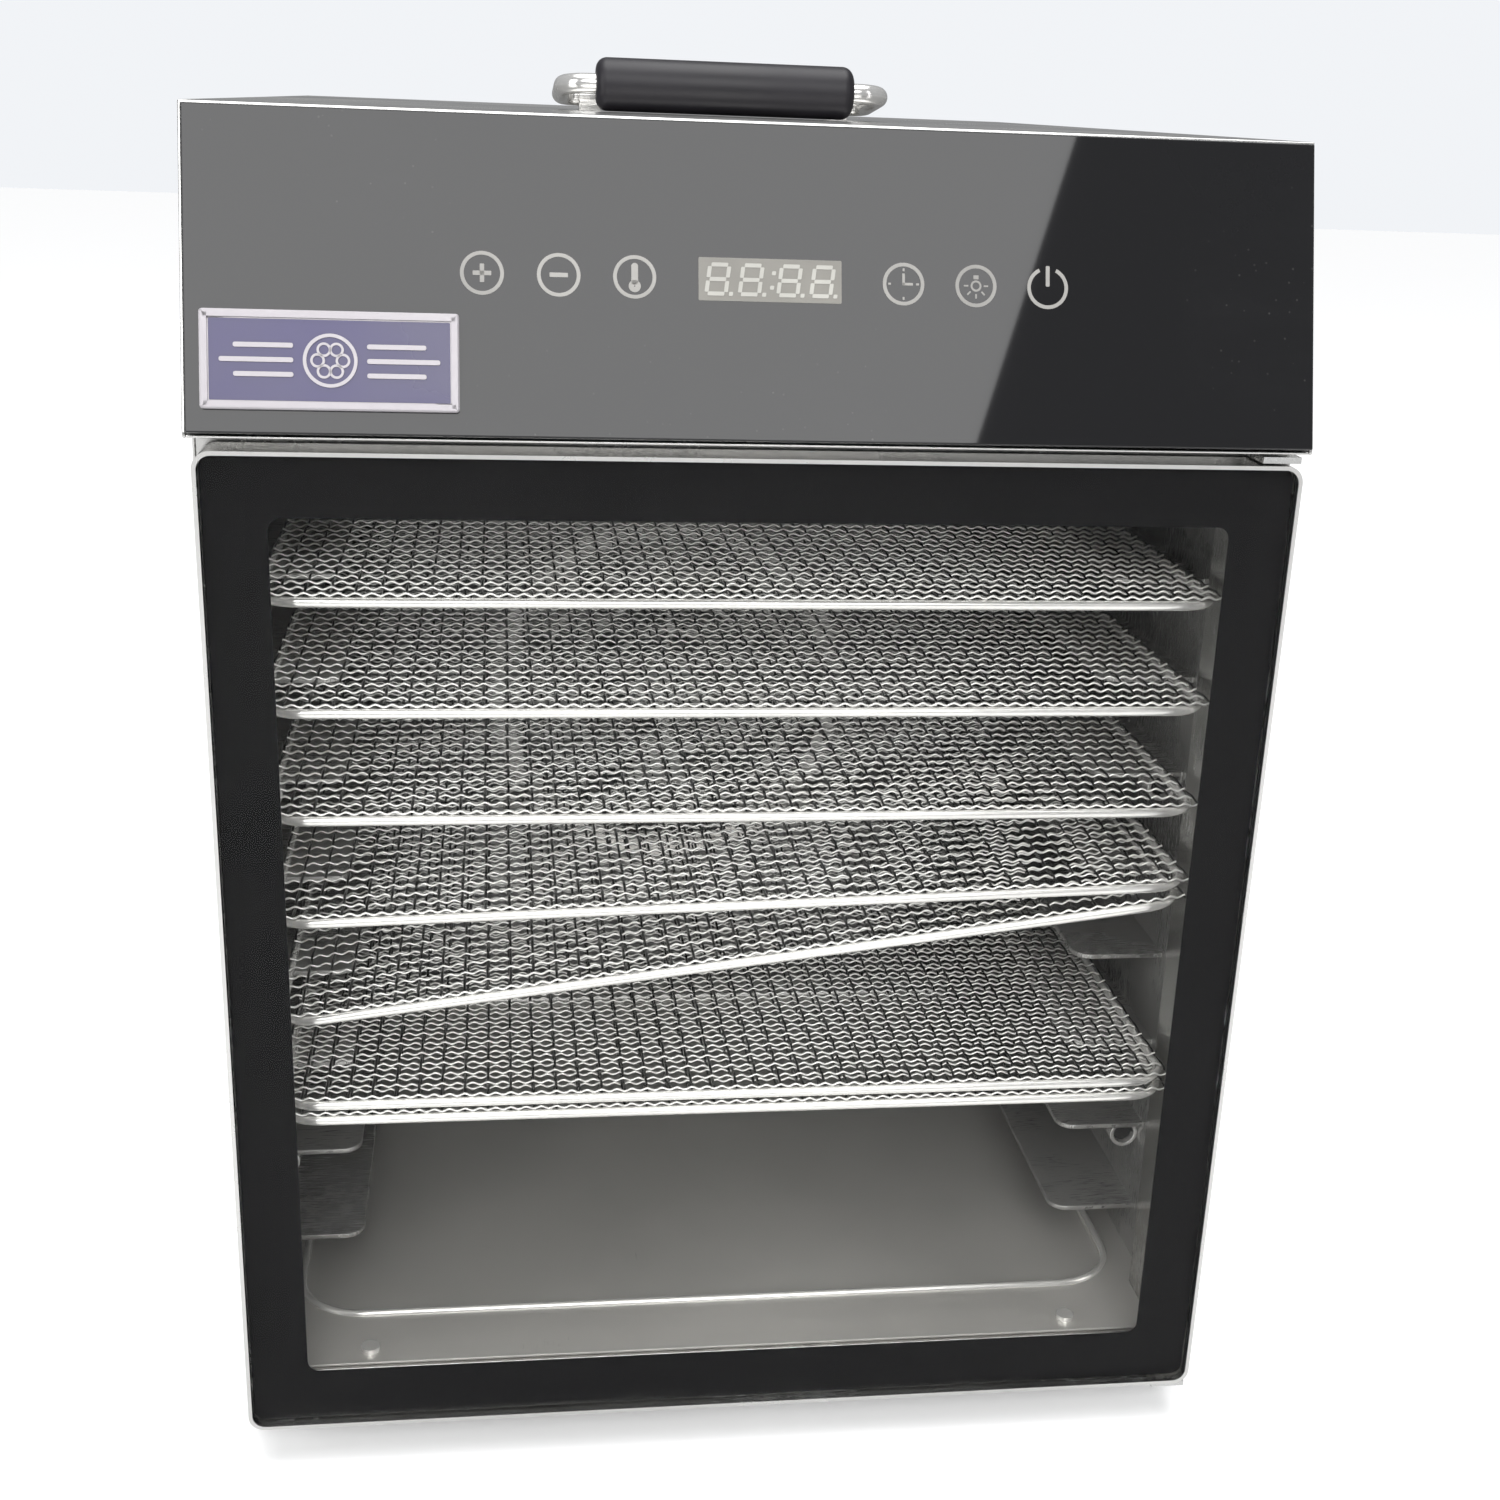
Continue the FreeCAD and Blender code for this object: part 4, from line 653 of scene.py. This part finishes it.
def buildMarks():
    mesh = bmesh.new()
    kinds = {-3: "plus", -2: "minus", -1: "heat", 1: "clock", 2: "light", 3: "power"}
    for step, kind in kinds.items():
        reach = marks["first"] + (abs(step) - 1) * marks["pitch"]
        addSymbol(mesh, kind, math.copysign(reach, step), marks["height"])
    bmesh.ops.transform(mesh, matrix=panelPlace(), verts=mesh.verts[:])
    makePiece("touchMarks", mesh, "cabinet", markPrint, smooth=False)


display = {"half": (0.0216, 0.0064), "digitHalf": (0.0029, 0.0043), "line": 0.0006, "slant": 0.14,
           "places": (-0.0158, -0.0058, 0.0058, 0.0158), "dotGap": 0.0016, "colon": 0.0008}


def buildDisplay():
    mesh = bmesh.new()
    addBar(mesh, 0, marks["height"], *display["half"], 0.0004)
    bmesh.ops.transform(mesh, matrix=panelPlace(), verts=mesh.verts[:])
    makePiece("displayField", mesh, "cabinet", displayTone, smooth=False)
    digits = bmesh.new()
    wide, high = display["digitHalf"]
    line = display["line"]
    for centre in display["places"]:
        for level in (-1, 0, 1):
            addBar(digits, centre, level * high, wide - 0.0004, line, line / 2)
        for side in (-1, 1):
            for level in (-0.5, 0.5):
                addBar(digits, centre + side * wide, level * high, line, high / 2 - 0.0005, line / 2)
        addBar(digits, centre + wide + display["dotGap"], -high, line, line, line / 2)
    for level in (-0.5, 0.5):
        addBar(digits, display["colon"], level * high, line, line, line / 2)
    for vert in digits.verts:
        vert.co.x += vert.co.y * display["slant"]
    bmesh.ops.translate(digits, vec=(0, marks["height"], panel["proud"]), verts=digits.verts[:])
    bmesh.ops.transform(digits, matrix=panelPlace(), verts=digits.verts[:])
    makePiece("displayDigits", digits, "cabinet", digitPrint, smooth=False)


badge = {"corner": 0.001, "ease": (0.0005, 0.0002), "rim": 0.0017, "wall": 0.0003, "recess": 0.0006,
         "fieldInset": 0.0026, "relief": 0.0004, "ring": (0.0078, 0.0068), "petal": (0.0021, 0.0014),
         "petalReach": 0.0036, "barStart": 0.0105, "barHalf": 0.0007, "barPitch": 0.0042}


def plateCorners(place):
    # the plate's lowest and highest corners in the panel's own plane
    flat = [place.inverted() @ vert.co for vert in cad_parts["badge_plate"].data.vertices]
    return [Vector([pick(corner[axis] for corner in flat) for axis in range(3)])
            for pick in (min, max)]


def buildBadge():
    # pale rim, enamel field and a plain raised ornament
    place = panelPlace()
    low, high = plateCorners(place)
    centre = ((low.x + high.x) / 2, (low.y + high.y) / 2)
    halfX, halfY = (high.x - low.x) / 2, (high.y - low.y) / 2
    inset, drop = badge["ease"]
    rim = bmesh.new()
    raised(rim, [roundedOutline(rim, halfX, halfY, badge["corner"], centre)], high.z - drop)
    upper = max(rim.faces, key=lambda f: f.calc_center_median().z)
    bmesh.ops.inset_region(rim, faces=[upper], thickness=inset)
    bmesh.ops.translate(rim, vec=(0, 0, drop), verts=upper.verts[:])
    for width in (badge["rim"], badge["wall"]):
        bmesh.ops.inset_region(rim, faces=[upper], thickness=width)
    bmesh.ops.translate(rim, vec=(0, 0, -badge["recess"]), verts=upper.verts[:])
    field = bmesh.new()
    face = roundedOutline(field, halfX - badge["fieldInset"], halfY - badge["fieldInset"], 0.0004, centre,
                          high.z - badge["recess"])
    raised(field, [face], 0.0001)
    ornament = bmesh.new()
    seat = high.z - badge["recess"] + 0.0001
    ringFace(ornament, *badge["ring"], badge["relief"], centre, 48, height=seat)
    for i in range(6):
        angle = i * math.pi / 3
        petal = (centre[0] + badge["petalReach"] * math.cos(angle),
                 centre[1] + badge["petalReach"] * math.sin(angle))
        ringFace(ornament, *badge["petal"], badge["relief"], petal, 24, height=seat)
    for side in (-1, 1):
        for row in (-1, 0, 1):
            reach = badge["barStart"] - abs(row) * 0.002
            addBar(ornament, centre[0] + side * (badge["barStart"] + reach),
                   centre[1] + row * badge["barPitch"], reach, badge["barHalf"], 0.0006,
                   height=seat, thickness=badge["relief"])
    for mesh, name, material in ((rim, "badgeRimPlate", badgeRim), (field, "badgeField", badgeEnamel),
                                 (ornament, "badgeOrnament", badgeRim)):
        bmesh.ops.recalc_face_normals(mesh, faces=mesh.faces[:])
        bmesh.ops.transform(mesh, matrix=place, verts=mesh.verts[:])
        makePiece(name, mesh, "cabinet", material, smooth=False,
                  hides=("badge_plate",) if mesh is rim else ())


buildMarks()
buildDisplay()
buildBadge()
softened("control_glass", "cabinet", "panel_glass", panelBlack, panel["edgeEase"], 3)
print("control front built")



shellPieces = {  # node: (body, slot, material, eased edge)
    "outer_wrap": ("cabinet", "polished_steel", polishedSteel, 0.0004),
    "front_frame": ("cabinet", "polished_steel", polishedSteel, 0.0004),
    "chamber_wall_left": ("cabinet", "inner_steel", chamberSteel, 0.0005),
    "chamber_wall_right": ("cabinet", "inner_steel", chamberSteel, 0.0005),
    "chamber_floor": ("cabinet", "inner_steel", floorSteel, 0.0004),
    "rear_cover": ("cabinet", "inner_steel", backSteel, 0.0003),
    "base_plate": ("cabinet", "inner_steel", backSteel, 0.0003),
    "rack_tubes": ("cabinet", "tube_steel", brightWire, 0.0003),
    "cord_gland": ("cabinet", "black_plastic", blackPlastic, 0.0004),
    "handle_brackets": ("cabinet", "wire_chrome", brightWire, 0.0003),
    "handle_bail": ("handle", "wire_chrome", brightWire, 0),
    "handle_grip": ("handle", "grip_plastic", gripPlastic, 0.0004),
}
for node, values in shellPieces.items():
    softened(node, *values)

bead = {"radius": 0.0016, "chamberHalf": 0.162, "frameReturn": 0.032, "setback": 0.0315,
        "side": 0.004, "corner": 0.025, "rear": 0.018}


def buildFloorBeadHighlight():
    # rounded edge pressed round the drip recess, made in the bright wire steel rather than the floor's
    # steel as a painted highlight line
    high = lowHigh("chamber_floor")[1]
    rear = lowHigh("rear_baffle")[0].y - bead["rear"]
    near = lowHigh("front_frame")[1].y - bead["frameReturn"] + bead["setback"]
    halfX = bead["chamberHalf"] - bead["side"]
    mesh = bmesh.new()
    line = roundedOutline(mesh, halfX, (rear - near) / 2, bead["corner"], (0, (rear + near) / 2),
                          segments=10)
    points = [vert.co.copy() for vert in line.verts]
    mesh.free()
    curve = bpy.data.curves.new("floorBeadLine", "CURVE")
    curve.dimensions = "3D"
    spline = curve.splines.new("POLY")
    spline.points.add(len(points) - 1)
    for point, place in zip(spline.points, points):
        point.co = (place.x, place.y, high.z, 1)
    spline.use_cyclic_u = True
    curve.bevel_depth = bead["radius"]
    curve.bevel_resolution = 3
    holder = bpy.data.objects.new("floorBeadLine", curve)
    data = bpy.data.meshes.new_from_object(holder)
    shape = bmesh.new()
    shape.from_mesh(data)
    bmesh.ops.recalc_face_normals(shape, faces=shape.faces[:])
    # the bright wire steel on the bead is a painted highlight
    makePiece("floorBeadHighlight", shape, "cabinet", brightWire)
    bpy.data.objects.remove(holder)
    bpy.data.curves.remove(curve)
    bpy.data.meshes.remove(data)


buildFloorBeadHighlight()

foot = {"radius": 0.011, "steps": 40, "screwRadius": 0.0042, "recess": 0.004}
socket = {"outer": 0.0055, "depth": 0.0022, "shadeCap": 0.0038, "flat": 0.0030, "length": 0.0025}


def buildFeet():
    low, high = lowHigh("rubber_feet")
    radius = foot["radius"]
    mesh = bmesh.new()
    for x in (low.x + radius, high.x - radius):
        for y in (low.y + radius, high.y - radius):
            profile = [(0, foot["recess"]), (foot["screwRadius"], foot["recess"]),
                       (foot["screwRadius"], 0.0004), (foot["screwRadius"] + 0.0004, 0),
                       (radius - 0.003, 0), (radius - 0.0022, 0.0006), (radius - 0.0018, 0.0016),
                       (radius - 0.0006, high.z * 0.7), (radius, high.z * 0.78),
                       (radius, high.z - 0.0006), (radius - 0.0006, high.z), (0, high.z)]
            addLathe(mesh, profile, Matrix.Translation((x, y, 0)), foot["steps"])
    makePiece("mouldedFeet", mesh, "cabinet", footRubber, hides=("rubber_feet",))


def buildSocketShadeCaps():
    # dark caps just inside the mouths of the side sockets, painted shade standing in for the dark tube
    # bores
    low, high = lowHigh("rack_tubes")
    outer, wide, back = socket["outer"], socket["shadeCap"], -socket["length"]
    mesh = bmesh.new()
    for x in (low.x + outer, high.x - outer):
        for z in (low.z + outer, high.z - outer):
            mouth = Matrix.Translation((x, low.y + socket["depth"], z))
            # near-black rubber discs in the tube mouths as painted shade
            addLathe(mesh, [(0, 0), (socket["flat"], 0), (wide, -0.0006), (wide, back), (0, back)],
                     mouth @ Matrix.Rotation(math.pi / 2, 4, "X"), 24)
    makePiece("socketShadeCaps", mesh, "cabinet", sealRubber)


buildFeet()
buildSocketShadeCaps()
print("cabinet built")



finishes = {
    # the chamber ceiling and rear baffle take the darker steel as painted shade
    "rear_bulkhead": backSteel, "chamber_ceiling": paintedShadeSteel, "rear_baffle": paintedShadeSteel,
    "fan_guard": brightWire, "fan_rotor": fanMetal, "fan_motor": motorPaint,
    "heater_element": heaterMetal, "heater_clips": chamberSteel, "thermal_cutout": blackPlastic,
    "temperature_probe": smallSteel, "lamp_lens": paneGlass, "lamp_board": boardGreen,
    "control_housing": blackPlastic, "touch_board": boardGreen, "display_module": blackPlastic,
    "power_board": boardGreen, "board_standoffs": whitePlastic, "power_transformer": motorPaint,
    "power_relay": blackPlastic, "door_gasket": sealRubber, "door_magnets": magnetPlate,
    "door_strikers": smallSteel, "hinge_bracket_upper": smallSteel, "hinge_bracket_lower": smallSteel,
    "hinge_pins": smallSteel, "door_bushes": whitePlastic, "floor_screws": brightWire,
    "rear_screws": smallSteel, "handle_rivets": smallSteel,
}
for node, material in finishes.items():
    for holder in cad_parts[node].material_slots:
        holder.material = material
print("finishes set")



studio = {"floorHalf": 8.0, "floorTone": (0.9, 0.9, 0.9), "worldTone": (0.95, 0.97, 1.0),
          "worldStrength": 0.26, "backdropStrength": 0.93, "floorGlow": 0.3}


def addStage():
    mesh = bmesh.new()
    bmesh.ops.create_grid(mesh, x_segments=1, y_segments=1, size=studio["floorHalf"])
    data = bpy.data.meshes.new("studioFloor")
    mesh.to_mesh(data)
    mesh.free()
    floor = bpy.data.objects.new("studioFloor", data)
    bpy.context.scene.collection.objects.link(floor)
    material, tree, shader = newMaterial("studioFloorTone")
    shader.inputs["Base Color"].default_value = (*studio["floorTone"], 1.0)
    shader.inputs["Roughness"].default_value = 0.7
    shader.inputs["Emission Color"].default_value = (*studio["floorTone"], 1.0)
    seen = tree.nodes.new("ShaderNodeLightPath").outputs["Is Camera Ray"]
    tree.links.new(mathNode(tree, "MULTIPLY", seen, studio["floorGlow"]),
                   shader.inputs["Emission Strength"])
    data.materials.append(material)
    world = bpy.data.worlds.new("studioWorld")
    world.use_nodes = True
    tree = world.node_tree
    background = tree.nodes["Background"]
    background.inputs["Color"].default_value = (*studio["worldTone"], 1.0)
    seen = tree.nodes.new("ShaderNodeLightPath").outputs["Is Camera Ray"]
    tree.links.new(rangeNode(tree, seen, 0.0, 1.0, studio["worldStrength"], studio["backdropStrength"]),
                   background.inputs["Strength"])
    bpy.context.scene.world = world


def addLamp(name, kind, place, pitch, yaw, roll, energy):
    # pitch is how far the lamp looks down, yaw how far it is turned from facing +Y
    light = bpy.data.lights.new(name, kind)
    light.energy = energy
    lamp = bpy.data.objects.new(name, light)
    lamp.location = place
    turn = [Matrix.Rotation(math.radians(angle), 3, axis)
            for angle, axis in ((yaw, "Z"), (90 - pitch, "X"), (roll, "Z"))]
    lamp.rotation_euler = (turn[0] @ turn[1] @ turn[2]).to_euler()
    bpy.context.scene.collection.objects.link(lamp)
    return light


def addSoftbox(name, place, pitch, yaw, width, height, watts, roll=0.0):
    light = addLamp(name, "AREA", place, pitch, yaw, roll, watts)
    light.shape = "RECTANGLE"
    light.size = width
    light.size_y = height


addStage()
bpy.context.scene.view_settings.view_transform = "Standard"
skyPanel = addLamp("skyPanel", "SUN", (0, -1, 4), 90, 0, 0, 1.75)
skyPanel.angle = math.radians(60)
addSoftbox("overheadBox", (0.1, 0.1, 2.3), 90, 0, 1.8, 1.8, 14)
addSoftbox("frontBox", (-0.26, -3.0, 2.235), 0, 0, 2.4, 1.8, 60, -20.7)
addSoftbox("rightStrip", (2.3, -2.2, 1.6), 26, 42, 0.35, 1.8, 7)
addSoftbox("leftBox", (-1.9, -1.2, 1.2), 24, -60, 0.9, 1.4, 14)

camera = {"place": (-0.0807, -0.8038, 0.4594), "turn": (70.685, -2.125, -7.442), "lens": 46.66,
          "shift": (-0.01067, 0.02133)}
lens = bpy.data.cameras.new("studioCamera")
lens.sensor_width = 36.0
lens.lens = camera["lens"]
lens.shift_x, lens.shift_y = camera["shift"]
viewer = bpy.data.objects.new("studioCamera", lens)
viewer.location = camera["place"]
viewer.rotation_euler = Euler([math.radians(value) for value in camera["turn"]], "XYZ")
bpy.context.scene.collection.objects.link(viewer)
bpy.context.scene.camera = viewer

print("scene ready")
